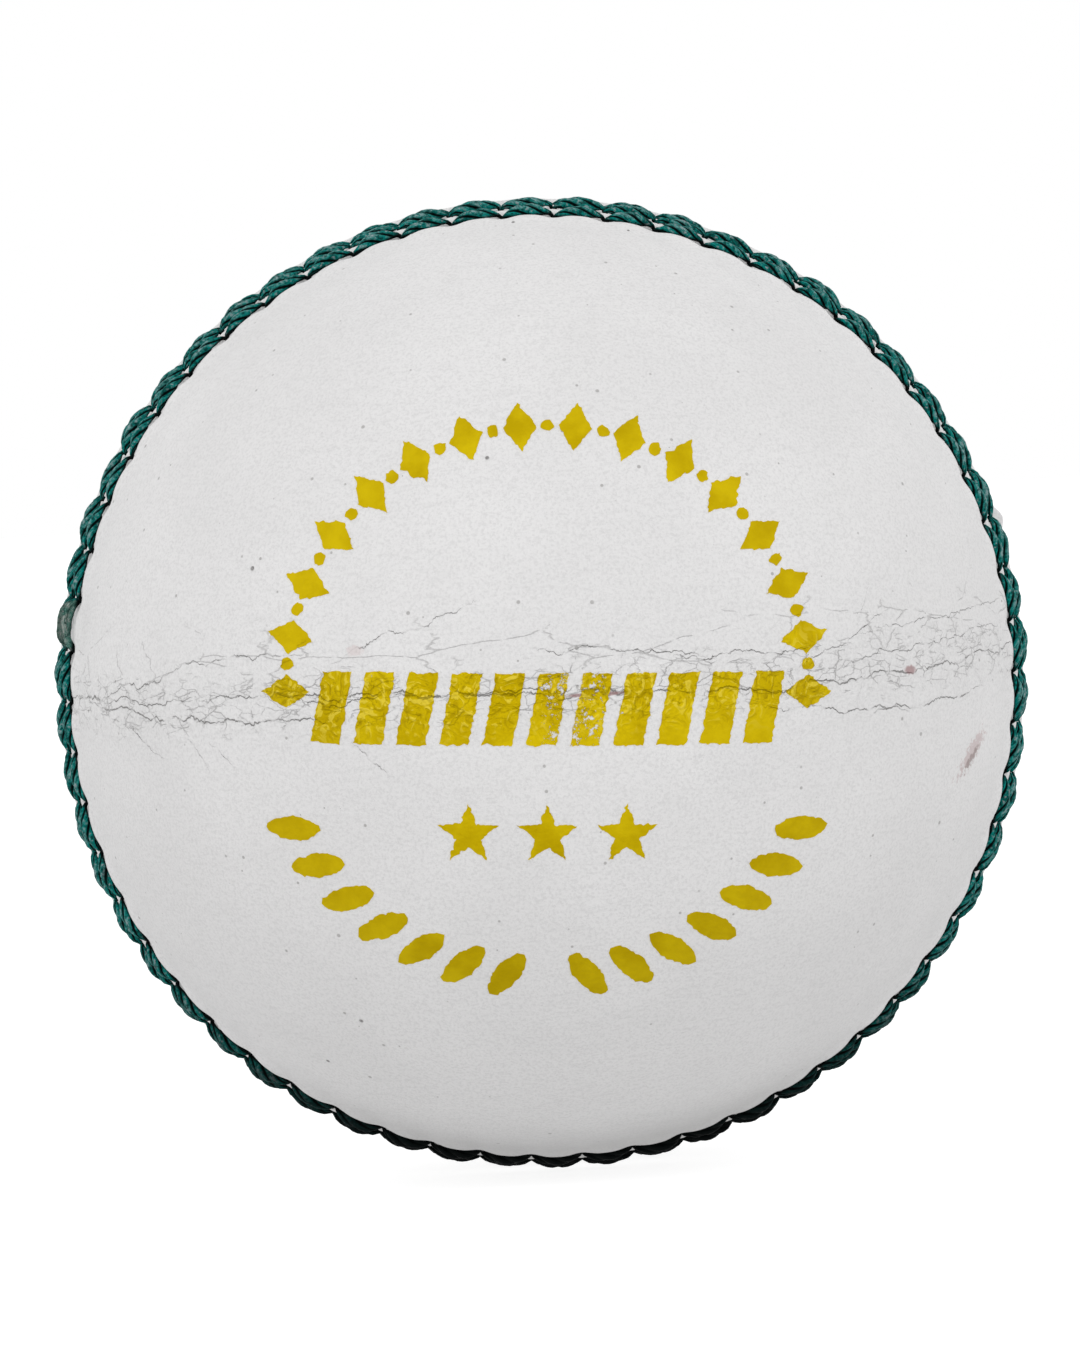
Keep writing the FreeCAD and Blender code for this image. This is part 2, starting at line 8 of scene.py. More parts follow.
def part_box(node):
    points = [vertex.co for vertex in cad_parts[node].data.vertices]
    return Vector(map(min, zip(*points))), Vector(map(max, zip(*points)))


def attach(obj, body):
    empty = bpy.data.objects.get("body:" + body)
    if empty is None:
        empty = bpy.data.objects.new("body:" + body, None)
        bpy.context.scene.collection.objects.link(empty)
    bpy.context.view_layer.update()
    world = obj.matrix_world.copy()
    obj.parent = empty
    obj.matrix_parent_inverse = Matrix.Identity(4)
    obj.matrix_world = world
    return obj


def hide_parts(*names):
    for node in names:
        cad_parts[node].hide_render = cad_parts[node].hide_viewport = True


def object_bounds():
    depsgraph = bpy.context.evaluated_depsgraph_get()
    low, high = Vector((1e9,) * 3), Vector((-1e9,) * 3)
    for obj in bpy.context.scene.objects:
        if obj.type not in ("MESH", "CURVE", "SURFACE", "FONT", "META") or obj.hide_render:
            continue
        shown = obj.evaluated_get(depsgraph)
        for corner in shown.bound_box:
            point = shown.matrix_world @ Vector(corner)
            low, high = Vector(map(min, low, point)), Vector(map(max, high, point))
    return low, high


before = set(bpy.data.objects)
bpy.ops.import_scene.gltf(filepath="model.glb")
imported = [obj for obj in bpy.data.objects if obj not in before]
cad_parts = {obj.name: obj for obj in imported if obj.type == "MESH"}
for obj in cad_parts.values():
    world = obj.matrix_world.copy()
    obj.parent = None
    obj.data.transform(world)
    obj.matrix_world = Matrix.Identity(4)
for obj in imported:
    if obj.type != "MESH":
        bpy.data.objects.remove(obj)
cadLow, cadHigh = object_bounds()
print("frame loaded")

mm = 0.001

# what every leather and thread piece shares
ball = dict(
    radius=-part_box("front_upper_quarter")[0].y,
    stitches=58,
    rows=(2.35 * mm, 5.15 * mm, 7.95 * mm),
    holeShift=-0.25,
)
stitchAngle = 2 * math.pi / ball["stitches"]


def deselectAll():
    if bpy.context.mode != "OBJECT":
        bpy.ops.object.mode_set(mode="OBJECT")
    bpy.ops.object.select_all(action="DESELECT")


def workOn(piece):
    deselectAll()
    piece.select_set(True)
    bpy.context.view_layer.objects.active = piece


def editMode(selectType="VERT"):
    bpy.ops.object.mode_set(mode="EDIT")
    bpy.ops.mesh.select_mode(type=selectType)


def pickVertices(piece, test):
    # selects the vertices that pass the test, in edit mode
    bpy.ops.object.mode_set(mode="OBJECT")
    for face in piece.data.polygons:
        face.select = False
    for edge in piece.data.edges:
        edge.select = False
    for vertex in piece.data.vertices:
        vertex.select = bool(test(vertex.co))
    bpy.ops.object.mode_set(mode="EDIT")


def applyModifier(piece, kind, **settings):
    workOn(piece)
    modifier = piece.modifiers.new(kind.title(), kind)
    for name, value in settings.items():
        setattr(modifier, name, value)
    bpy.ops.object.modifier_apply(modifier=modifier.name)


def smoothAll(piece, angle):
    workOn(piece)
    bpy.ops.object.shade_smooth_by_angle(angle=math.radians(angle))


def joinPieces(name, parts):
    deselectAll()
    for part in parts:
        part.select_set(True)
    bpy.context.view_layer.objects.active = parts[0]
    bpy.ops.object.join()
    parts[0].name = name
    parts[0].data.name = name
    return parts[0]


def fadeStep(low, high, value):
    t = min(max((value - low) / (high - low), 0.0), 1.0)
    return t * t * (3 - 2 * t)


# shader helpers

def addNode(tree, kind, values=None, **settings):
    node = tree.nodes.new(kind)
    for name, value in settings.items():
        setattr(node, name, value)
    for key, value in (values or {}).items():
        if isinstance(value, bpy.types.NodeSocket):
            tree.links.new(value, node.inputs[key])
        else:
            node.inputs[key].default_value = value
    return node


def calc(tree, operation, *values, clamp=False):
    node = addNode(tree, "ShaderNodeMath", dict(enumerate(values)), operation=operation)
    node.use_clamp = clamp
    return node.outputs[0]


def fade(tree, value, low, high, start=0.0, end=1.0):
    node = addNode(tree, "ShaderNodeMapRange", {"Value": value, "From Min": low, "From Max": high,
                                                "To Min": start, "To Max": end})
    node.interpolation_type = "SMOOTHSTEP"
    return node.outputs["Result"]


def mixColor(tree, amount, first, second):
    node = addNode(tree, "ShaderNodeMix", data_type="RGBA")
    for index, value in ((0, amount), (6, first), (7, second)):
        if isinstance(value, bpy.types.NodeSocket):
            tree.links.new(value, node.inputs[index])
        else:
            node.inputs[index].default_value = value
    return node.outputs[2]


def newGroup(name, inputs, outputs):
    group = bpy.data.node_groups.new(name, "ShaderNodeTree")
    for label, kind in inputs:
        group.interface.new_socket(label, in_out="INPUT", socket_type="NodeSocket" + kind)
    for label, kind in outputs:
        group.interface.new_socket(label, in_out="OUTPUT", socket_type="NodeSocket" + kind)
    return group, addNode(group, "NodeGroupInput"), addNode(group, "NodeGroupOutput")


def placeGroup(tree, group, values):
    node = addNode(tree, "ShaderNodeGroup", node_tree=group)
    for key, value in values.items():
        if isinstance(value, bpy.types.NodeSocket):
            tree.links.new(value, node.inputs[key])
        else:
            node.inputs[key].default_value = value
    return node


def newMaterial(name, **sockets):
    material = bpy.data.materials.new(name)
    material.use_nodes = True
    tree = material.node_tree
    shader = tree.nodes["Principled BSDF"]
    for key, value in sockets.items():
        shader.inputs[key.replace("_", " ")].default_value = value
    return material, tree, shader


def noiseOf(tree, place, scale, detail=2.0, roughness=0.5, output=0):
    node = addNode(tree, "ShaderNodeTexNoise", {"Vector": place, "Scale": scale, "Detail": detail,
                                                "Roughness": roughness})
    return node.outputs[output]


def splitPlace(tree, place):
    return addNode(tree, "ShaderNodeSeparateXYZ", {0: place}).outputs


def giveBump(tree, shader, height, strength=1.0):
    # heights are in millimetres
    bump = addNode(tree, "ShaderNodeBump", {"Height": height, "Distance": mm, "Strength": strength})
    tree.links.new(bump.outputs[0], shader.inputs["Normal"])


def millimetres(tree):
    # object coordinates, counted in millimetres
    place = addNode(tree, "ShaderNodeTexCoord").outputs["Object"]
    return addNode(tree, "ShaderNodeVectorMath", {0: place, "Scale": 1000.0}, operation="SCALE").outputs[0]


def srgb(red, green, blue):
    def linear(c):
        c /= 255.0
        return c / 12.92 if c <= 0.04045 else ((c + 0.055) / 1.055) ** 2.4
    return (linear(red), linear(green), linear(blue), 1.0)


# shared effects

def makeCreaseLine():
    # one hairline across the front of the ball, in coordinates that already wander
    group, given, result = newGroup("creaseLine", [
        ("Across", "Float"), ("Up", "Float"), ("Centre", "Float"), ("Half Length", "Float"),
        ("Height", "Float"), ("Slope", "Float"), ("Width", "Float"), ("So Far", "Float")],
        [("Mask", "Float")])
    get = given.outputs
    fromCentre = calc(group, "SUBTRACT", get["Across"], get["Centre"])
    lineHeight = calc(group, "MULTIPLY_ADD", fromCentre, get["Slope"], get["Height"])
    offLine = calc(group, "ABSOLUTE", calc(group, "SUBTRACT", get["Up"], lineHeight))
    inside = calc(group, "SUBTRACT", get["Half Length"], calc(group, "ABSOLUTE", fromCentre))
    width = calc(group, "MULTIPLY", get["Width"], calc(group, "MULTIPLY", inside, 0.6, clamp=True))
    close = calc(group, "DIVIDE", offLine, calc(group, "MAXIMUM", width, 0.0005))
    mask = calc(group, "SUBTRACT", 1.0, close, clamp=True)
    group.links.new(calc(group, "MAXIMUM", mask, get["So Far"]), result.inputs["Mask"])
    return group


def makeHairCracks():
    # a broken network of hairlines, turned by Turn and drawn out by Stretch
    group, given, result = newGroup("hairCracks", [
        ("Place", "Vector"), ("Turn", "Vector"), ("Stretch", "Vector"), ("Scale", "Float"),
        ("Width", "Float"), ("Cover", "Float")], [("Mask", "Float")])
    get = given.outputs
    turned = addNode(group, "ShaderNodeMapping", {"Vector": get["Place"], "Rotation": get["Turn"],
                                                  "Scale": get["Stretch"]}).outputs[0]
    drift = noiseOf(group, turned, 0.9, 5.0, 0.6, "Color")
    drift = addNode(group, "ShaderNodeVectorMath", {0: drift, 1: (0.5, 0.5, 0.5)},
                    operation="SUBTRACT").outputs[0]
    warped = addNode(group, "ShaderNodeVectorMath", {0: drift, 1: (0.9, 0.9, 0.9), 2: turned},
                     operation="MULTIPLY_ADD").outputs[0]
    edge = addNode(group, "ShaderNodeTexVoronoi", {"Vector": warped, "Scale": get["Scale"]},
                   feature="DISTANCE_TO_EDGE").outputs["Distance"]
    patches = noiseOf(group, get["Place"], 0.75, 3.0)
    kept = fade(group, patches, calc(group, "SUBTRACT", 0.72, calc(group, "MULTIPLY", get["Cover"], 0.4)),
                calc(group, "SUBTRACT", 0.84, calc(group, "MULTIPLY", get["Cover"], 0.4)))
    width = calc(group, "MAXIMUM", calc(group, "MULTIPLY", get["Width"], kept), 0.0001)
    mask = calc(group, "SUBTRACT", 1.0, calc(group, "DIVIDE", edge, width), clamp=True)
    group.links.new(calc(group, "MULTIPLY", mask, kept), result.inputs["Mask"])
    return group


def makeSpecks():
    # sparse small pits, one in some of the cells
    group, given, result = newGroup("specks", [
        ("Place", "Vector"), ("Scale", "Float"), ("Size", "Float"),
        ("Rarity", "Float")], [("Mask", "Float")])
    get = given.outputs
    cells = addNode(group, "ShaderNodeTexVoronoi", {"Vector": get["Place"], "Scale": get["Scale"]})
    chosen = addNode(group, "ShaderNodeSeparateColor", {0: cells.outputs["Color"]}).outputs[0]
    size = calc(group, "MULTIPLY", calc(group, "SUBTRACT", chosen, get["Rarity"], clamp=True), get["Size"])
    near = calc(group, "DIVIDE", cells.outputs["Distance"], calc(group, "MAXIMUM", size, 0.0001))
    dot = calc(group, "MULTIPLY", calc(group, "SUBTRACT", 1.0, near), 2.5, clamp=True)
    group.links.new(calc(group, "MULTIPLY", dot, fade(group, size, 0.0, 0.002)), result.inputs["Mask"])
    return group


def makeScuff():
    # a ragged rubbed patch at one place
    group, given, result = newGroup("scuff", [
        ("Place", "Vector"), ("Centre", "Vector"), ("Turn", "Vector"), ("Size", "Vector"),
        ("Rough Edge", "Float")], [("Mask", "Float")])
    get = given.outputs
    moved = addNode(group, "ShaderNodeVectorMath", {0: get["Place"], 1: get["Centre"]},
                    operation="SUBTRACT").outputs[0]
    turned = addNode(group, "ShaderNodeMapping", {"Vector": moved, "Rotation": get["Turn"]}).outputs[0]
    shrunk = addNode(group, "ShaderNodeVectorMath", {0: turned, 1: get["Size"]},
                     operation="DIVIDE").outputs[0]
    far = addNode(group, "ShaderNodeVectorMath", {0: shrunk}, operation="LENGTH").outputs["Value"]
    ragged = noiseOf(group, get["Place"], 2.6, 8.0, 0.7)
    reach = calc(group, "MULTIPLY_ADD", calc(group, "SUBTRACT", ragged, 0.5), get["Rough Edge"], far)
    group.links.new(fade(group, reach, 1.0, 0.55), result.inputs["Mask"])
    return group


creaseLine = makeCreaseLine()
hairCracks = makeHairCracks()
specks = makeSpecks()
scuff = makeScuff()

# the creases that follow the sewn joint, as (start, end, left height, right height, width)
creases = [
    (-34.8, -30.5, 1.0, 1.3, 0.070),
    (-31.8, -24.5, 1.2, 3.8, 0.050),
    (-25.5, -16.0, 3.7, 4.4, 0.040),
    (-33.5, -17.0, 1.1, 1.6, 0.055),
    (-19.0, 1.0, 1.5, 0.8, 0.070),
    (-32.5, -22.0, 0.9, -0.3, 0.075),
    (-23.5, -14.5, -0.2, -0.3, 0.075),
    (-17.0, 3.0, 0.9, 1.2, 0.055),
    (1.0, 7.0, 0.7, 0.6, 0.140),
    (5.0, 17.5, 0.8, 0.0, 0.070),
    (15.0, 26.0, 0.0, 0.5, 0.075),
    (24.0, 34.6, 0.3, 1.3, 0.055),
    (-0.5, 11.5, 4.0, 3.0, 0.040),
    (9.0, 18.5, 2.9, 2.6, 0.040),
    (14.5, 25.5, -0.9, -2.5, 0.055),
    (22.0, 31.5, -2.5, -1.4, 0.050),
    (20.0, 33.5, 1.4, 3.0, 0.035),
    (-14.5, -4.0, 3.6, 7.4, 0.035),
    (-29.5, -26.5, -0.6, -2.7, 0.055),
    (-24.9, -23.2, -0.9, -3.9, 0.055),
    (-23.4, -21.2, -1.5, -3.6, 0.050),
    (-13.2, -10.4, -1.6, -4.6, 0.050),
    (16.2, 17.6, 1.6, -1.4, 0.060),
    (21.2, 22.4, -1.6, 1.1, 0.050),
    (5.2, 6.0, 0.9, 4.6, 0.040),
    (21.6, 23.2, 3.2, 7.4, 0.030),
    (17.0, 24.5, 1.0, 5.0, 0.035),
    (22.0, 34.2, 3.4, 4.6, 0.030),
]


def layCracks(tree, place):
    # every crack on the front, as one mask
    split = splitPlace(tree, place)
    walk = addNode(tree, "ShaderNodeMapping", {"Vector": place, "Scale": (1.0, 0.3, 0.2)}).outputs[0]
    bends = noiseOf(tree, walk, 0.36, 7.0, 0.62, "Color")
    bends = addNode(tree, "ShaderNodeSeparateColor", {0: bends}).outputs
    up = calc(tree, "MULTIPLY_ADD", calc(tree, "SUBTRACT", bends[0], 0.5), 2.3, split["Z"])
    across = calc(tree, "MULTIPLY_ADD", calc(tree, "SUBTRACT", bends[1], 0.5), 1.6, split["X"])
    shiver = noiseOf(tree, place, 1.5, 3.0)
    up = calc(tree, "MULTIPLY_ADD", calc(tree, "SUBTRACT", shiver, 0.5), 0.55, up)
    total = 0.0
    for start, end, left, right, width in creases:
        total = placeGroup(tree, creaseLine, {
            "Across": across, "Up": up, "Centre": (start + end) / 2, "Half Length": (end - start) / 2,
            "Height": (left + right) / 2, "Slope": (right - left) / (end - start), "Width": width,
            "So Far": total}).outputs[0]
    gaps = noiseOf(tree, place, 0.8, 3.0)
    total = calc(tree, "MULTIPLY", total, fade(tree, gaps, 0.36, 0.54, 0.12, 1.0))
    total = calc(tree, "MULTIPLY", total, fade(tree, split["Y"], 2.0, -2.0))
    front = fade(tree, split["Y"], 1.0, -3.0)
    offBand = calc(tree, "ABSOLUTE", calc(tree, "SUBTRACT", split["Z"], 1.0))
    band = calc(tree, "MULTIPLY", fade(tree, offBand, 4.2, 0.8), front)
    above = calc(tree, "MULTIPLY", calc(tree, "MULTIPLY", fade(tree, split["Z"], 9.5, 4.0),
                                        fade(tree, split["Z"], 0.5, 2.5)), front)
    fine = placeGroup(tree, hairCracks, {
        "Place": place, "Turn": (0.0, math.radians(8), 0.0), "Stretch": (0.5, 0.5, 1.0), "Scale": 0.62,
        "Width": 0.02, "Cover": calc(tree, "MULTIPLY", band, 0.75)}).outputs[0]
    hair = placeGroup(tree, hairCracks, {
        "Place": place, "Turn": (0.0, math.radians(-12), 0.0), "Stretch": (0.45, 0.5, 1.0), "Scale": 1.3,
        "Width": 0.03, "Cover": calc(tree, "MULTIPLY", band, 0.8)}).outputs[0]
    slanting = placeGroup(tree, hairCracks, {
        "Place": place, "Turn": (0.0, math.radians(27), 0.0), "Stretch": (0.26, 0.5, 1.0), "Scale": 0.36,
        "Width": 0.015, "Cover": calc(tree, "MULTIPLY", above, 0.85)}).outputs[0]
    fine = calc(tree, "MULTIPLY", fine, calc(tree, "MULTIPLY", band, 0.5))
    fine = calc(tree, "MAXIMUM", fine, calc(tree, "MULTIPLY", hair, calc(tree, "MULTIPLY", band, 0.36)))
    slanting = calc(tree, "MULTIPLY", slanting, calc(tree, "MULTIPLY", above, 0.38))
    return calc(tree, "MAXIMUM", total, calc(tree, "MAXIMUM", fine, slanting)), band


def layBackJoint(tree, place):
    # the sewn joint of the back cup, with a few hairlines beside it
    split = splitPlace(tree, place)
    walk = noiseOf(tree, place, 0.3, 6.0)
    aside = calc(tree, "MULTIPLY_ADD", calc(tree, "SUBTRACT", walk, 0.5), 1.2, split["X"])
    line = placeGroup(tree, creaseLine, {
        "Across": split["Z"], "Up": aside, "Centre": 0.0, "Half Length": 34.5, "Height": 0.0, "Slope": 0.0,
        "Width": 0.07, "So Far": 0.0}).outputs[0]
    gaps = noiseOf(tree, place, 0.8, 3.0)
    line = calc(tree, "MULTIPLY", line, fade(tree, gaps, 0.34, 0.54, 0.2, 1.0))
    near = fade(tree, calc(tree, "ABSOLUTE", split["X"]), 3.4, 0.6)
    hair = placeGroup(tree, hairCracks, {
        "Place": place, "Turn": (0.0, math.radians(7), 0.0), "Stretch": (1.0, 0.5, 0.5), "Scale": 0.7,
        "Width": 0.02, "Cover": calc(tree, "MULTIPLY", near, 0.7)}).outputs[0]
    line = calc(tree, "MAXIMUM", line, calc(tree, "MULTIPLY", hair, calc(tree, "MULTIPLY", near, 0.4)))
    return calc(tree, "MULTIPLY", line, fade(tree, split["Y"], 1.0, 3.0))


# materials

def makeLeatherWhite(name, creased):
    material, tree, shader = newMaterial(name, Roughness=0.5, Coat_Weight=0.05, Coat_Roughness=0.35)
    place = millimetres(tree)
    cloud = noiseOf(tree, place, 0.09, 4.0)
    streakPlace = addNode(tree, "ShaderNodeMapping",
                          {"Vector": place, "Scale": (0.22, 0.5, 2.2)}).outputs[0]
    streaks = noiseOf(tree, streakPlace, 1.1, 5.0, 0.6)
    pits = placeGroup(tree, specks, {
        "Place": place, "Scale": 0.36, "Size": 0.38, "Rarity": 0.8}).outputs[0]
    tinyPits = placeGroup(tree, specks, {
        "Place": place, "Scale": 0.8, "Size": 0.27, "Rarity": 0.46}).outputs[0]
    color = mixColor(tree, fade(tree, cloud, 0.35, 0.65), srgb(240, 239, 239), srgb(236, 235, 235))
    color = mixColor(tree, fade(tree, streaks, 0.5, 0.75, 0.0, 0.25), color, srgb(220, 219, 219))
    color = mixColor(tree, calc(tree, "MULTIPLY", tinyPits, 0.65), color, srgb(140, 137, 134))
    color = mixColor(tree, calc(tree, "MULTIPLY", pits, 0.85), color, srgb(90, 87, 84))
    grain = noiseOf(tree, place, 4.6, 5.0, 0.7)
    color = mixColor(tree, fade(tree, grain, 0.44, 0.64, 0.0, 0.42), color, srgb(208, 207, 207))
    # painted shade: the leather beside the seam darkens towards the bottom of the ball
    ends = splitPlace(tree, place)
    paintedShadeBelow = calc(tree, "MULTIPLY", fade(tree, ends["Z"], -24.0, -34.0),
                  fade(tree, calc(tree, "ABSOLUTE", ends["Y"]), 19.0, 8.0))
    color = mixColor(tree, calc(tree, "MULTIPLY", paintedShadeBelow, 0.62), color, srgb(176, 175, 174))
    height = calc(tree, "MULTIPLY", grain, 0.1)
    height = calc(tree, "MULTIPLY_ADD", streaks, 0.02, height)
    height = calc(tree, "MULTIPLY_ADD", pits, -0.1, height)
    if creased:
        cracks, band = layCracks(tree, place)
        rubs = []
        for centre, turn, size, ragged, strength, tint in leatherRubs:
            mark = placeGroup(tree, scuff, {"Place": place, "Centre": centre, "Turn": turn, "Size": size,
                                            "Rough Edge": ragged}).outputs[0]
            rubs.append((calc(tree, "MULTIPLY", mark, strength), tint))
        color = mixColor(tree, calc(tree, "MULTIPLY", cracks, 0.92), color, srgb(98, 94, 91))
        for mark, tint in rubs:
            color = mixColor(tree, mark, color, tint)
        crumple = addNode(tree, "ShaderNodeTexNoise", {"Vector": place, "Scale": 1.1, "Detail": 5.0,
                                                       "Distortion": 1.2}).outputs[0]
        height = calc(tree, "MULTIPLY_ADD", calc(tree, "MULTIPLY", crumple, band), 0.22, height)
        height = calc(tree, "MULTIPLY_ADD", cracks, -0.14, height)
    else:
        joint = layBackJoint(tree, place)
        color = mixColor(tree, calc(tree, "MULTIPLY", joint, 0.7), color, srgb(112, 108, 105))
        height = calc(tree, "MULTIPLY_ADD", joint, -0.14, height)
    tree.links.new(color, shader.inputs["Base Color"])
    giveBump(tree, shader, height, 0.8)
    tree.links.new(fade(tree, streaks, 0.3, 0.7, 0.46, 0.56), shader.inputs["Roughness"])
    return material


# rubbed places: centre, turn, size in millimetres, raggedness, strength and tint
leatherRubs = [
    ((25.7, -23.7, 0.5), (0.0, 0.0, 0.0), (0.55, 1.2, 0.36), 1.8, 0.8, srgb(164, 124, 126)),
    ((30.2, -16.6, -6.0), (0.0, 0.95, 0.0), (2.4, 4.0, 0.5), 3.4, 0.5, srgb(184, 152, 152)),
    ((30.1, -16.6, -6.5), (0.0, 0.95, 0.0), (1.2, 3.0, 0.22), 3.0, 0.55, srgb(120, 96, 92)),
    ((3.6, -34.8, 0.62), (0.0, 0.0, 0.0), (2.6, 2.0, 0.2), 0.8, 0.8, srgb(170, 128, 128)),
    ((-12.6, -32.4, 4.4), (0.0, 0.0, 0.0), (0.7, 1.5, 0.5), 1.6, 0.25, srgb(200, 160, 158)),
]


def makeGold(name, creased):
    material, tree, shader = newMaterial(name, Metallic=0.75, Roughness=0.55, Specular_IOR_Level=0.1)
    place = millimetres(tree)
    tone = noiseOf(tree, place, 0.35, 6.0, 0.6)
    speckle = noiseOf(tree, place, 2.1, 6.0, 0.75)
    color = mixColor(tree, fade(tree, tone, 0.3, 0.7), srgb(200, 172, 0), srgb(222, 196, 10))
    grain = noiseOf(tree, place, 3.0, 4.0)
    height = calc(tree, "MULTIPLY", grain, 0.05)
    limit = 0.29
    if creased:
        cracks, band = layCracks(tree, place)
        crumple = addNode(tree, "ShaderNodeTexNoise", {"Vector": place, "Scale": 0.95, "Detail": 5.0,
                                                       "Distortion": 2.2}).outputs[0]
        # painted highlight on the crumpled ridges and painted shade in the hollows
        ridgeHighlight = calc(tree, "MULTIPLY", fade(tree, crumple, 0.55, 0.62), band)
        color = mixColor(tree, calc(tree, "MULTIPLY", ridgeHighlight, 0.7), color, srgb(240, 218, 74))
        hollowShade = calc(tree, "MULTIPLY", fade(tree, crumple, 0.44, 0.38), band)
        color = mixColor(tree, calc(tree, "MULTIPLY", hollowShade, 0.45), color, srgb(160, 132, 4))
        color = mixColor(tree, calc(tree, "MULTIPLY", cracks, 0.42), color, srgb(112, 88, 6))
        height = calc(tree, "MULTIPLY_ADD", calc(tree, "MULTIPLY", crumple, band), 0.3, height)
        height = calc(tree, "MULTIPLY_ADD", cracks, -0.1, height)
        # the foil has flaked where the joint was folded
        split = splitPlace(tree, place)
        fold = calc(tree, "ABSOLUTE", calc(tree, "SUBTRACT", split["X"], 2.2))
        flaked = calc(tree, "MULTIPLY", fade(tree, fold, 4.6, 1.5), fade(tree, split["Z"], 4.0, 2.0))
        limit = calc(tree, "MULTIPLY_ADD", flaked, 0.15, limit)
    tree.links.new(color, shader.inputs["Base Color"])
    tree.links.new(fade(tree, calc(tree, "SUBTRACT", speckle, limit), -0.01, 0.01), shader.inputs["Alpha"])
    giveBump(tree, shader, height, 0.8)
    return material


def makeThread(name, dark, light, dustAndHighlight, dustAndHighlightShare):
    material, tree, shader = newMaterial(name, Roughness=0.6, Specular_IOR_Level=0.07)
    strand = addNode(tree, "ShaderNodeAttribute", attribute_name="strand").outputs["Vector"]
    clear = addNode(tree, "ShaderNodeAttribute", attribute_name="clear").outputs["Fac"]
    place = millimetres(tree)
    crest = splitPlace(tree, strand)["Z"]
    along = addNode(tree, "ShaderNodeMapping", {"Vector": strand, "Scale": (30.0, 2.4, 0.0)}).outputs[0]
    drift = noiseOf(tree, place, 0.5, output="Color")
    along = addNode(tree, "ShaderNodeVectorMath", {0: drift, 1: (4.0, 1.0, 9.0), 2: along},
                    operation="MULTIPLY_ADD").outputs[0]
    fibres = noiseOf(tree, along, 1.0, 5.0, 0.65)
    wax = noiseOf(tree, place, 1.1, 4.0)
    color = mixColor(tree, fade(tree, fibres, 0.36, 0.64), dark, light)
    color = mixColor(tree, fade(tree, wax, 0.44, 0.34, 0.0, 0.6), color, srgb(0, 30, 28))
    # pale fibres on the strand crests and on the side away from the leather: partly worn fibre with dust,
    # partly painted highlight
    worn = calc(tree, "MULTIPLY", fade(tree, fibres, 0.42, 0.58), fade(tree, wax, 0.38, 0.58))
    worn = calc(tree, "MULTIPLY", worn, calc(tree, "MULTIPLY", crest, fade(tree, clear, 0.4, 0.95)))
    color = mixColor(tree, calc(tree, "MULTIPLY", worn, dustAndHighlightShare), color, dustAndHighlight)
    fuzz = noiseOf(tree, place, 4.2, 4.0)
    dustAndHighlightShare = calc(tree, "MULTIPLY", fade(tree, fuzz, 0.54, 0.66, 0.0, 0.5), crest)
    color = mixColor(tree, dustAndHighlightShare, color, dustAndHighlight)
    color = mixColor(tree, fade(tree, fuzz, 0.46, 0.36, 0.0, 0.7), color, srgb(0, 40, 36))
    # painted shade: the grooves and the side that faces the leather are darkened
    hidden = calc(tree, "MAXIMUM", fade(tree, crest, 0.5, 0.14), fade(tree, clear, 0.4, 0.12))
    color = mixColor(tree, hidden, color, srgb(0, 6, 6))
    # painted shade: the thread darkens towards the bottom of the ball
    low = fade(tree, splitPlace(tree, place)["Z"], -14.0, -33.5, 0.0, 1.0)
    color = mixColor(tree, low, color, srgb(0, 4, 4))
    tree.links.new(color, shader.inputs["Base Color"])
    height = calc(tree, "MULTIPLY", fibres, 0.1)
    giveBump(tree, shader, height)
    return material


def makeCork(name, dark, light, scale):
    material, tree, shader = newMaterial(name, Roughness=0.85)
    place = millimetres(tree)
    grains = addNode(tree, "ShaderNodeTexVoronoi", {"Vector": place, "Scale": scale})
    shade = addNode(tree, "ShaderNodeSeparateColor", {0: grains.outputs["Color"]}).outputs[0]
    color = mixColor(tree, shade, dark, light)
    pores = placeGroup(tree, specks, {
        "Place": place, "Scale": 1.4, "Size": 0.9, "Rarity": 0.6}).outputs[0]
    color = mixColor(tree, pores, color, srgb(60, 38, 24))
    tree.links.new(color, shader.inputs["Base Color"])
    height = calc(tree, "MULTIPLY", grains.outputs["Distance"], -0.1)
    height = calc(tree, "MULTIPLY_ADD", pores, -0.2, height)
    giveBump(tree, shader, height)
    return material


def makeYarn():
    # yarn wound in two crossing directions
    material, tree, shader = newMaterial("woundYarn", Roughness=0.9, Sheen_Weight=0.3)
    place = millimetres(tree)
    strands = []
    for turn in ((0.5, 0.3, 0.0), (-0.7, 0.2, 0.9)):
        turned = addNode(tree, "ShaderNodeMapping", {"Vector": place, "Rotation": turn}).outputs[0]
        wave = addNode(tree, "ShaderNodeTexWave", {"Vector": turned, "Scale": 0.33, "Distortion": 1.2,
                                                   "Detail": 2.0, "Detail Scale": 0.4})
        strands.append(wave.outputs[0])
    over = noiseOf(tree, place, 0.16)
    height = addNode(tree, "ShaderNodeMix", {
        0: fade(tree, over, 0.46, 0.54), 2: strands[0], 3: strands[1]}).outputs[0]
    color = mixColor(tree, height, srgb(150, 132, 104), srgb(214, 202, 176))
    tree.links.new(color, shader.inputs["Base Color"])
    giveBump(tree, shader, calc(tree, "MULTIPLY", height, 0.4))
    return material


def makeLiningLeather():
    material, tree, shader = newMaterial("liningLeather", Roughness=0.85, Sheen_Weight=0.2)
    place = millimetres(tree)
    nap = noiseOf(tree, place, 1.6, 8.0, 0.7)
    color = mixColor(tree, fade(tree, nap, 0.3, 0.7), srgb(160, 126, 92), srgb(202, 172, 136))
    tree.links.new(color, shader.inputs["Base Color"])
    giveBump(tree, shader, calc(tree, "MULTIPLY", nap, 0.2))
    return material


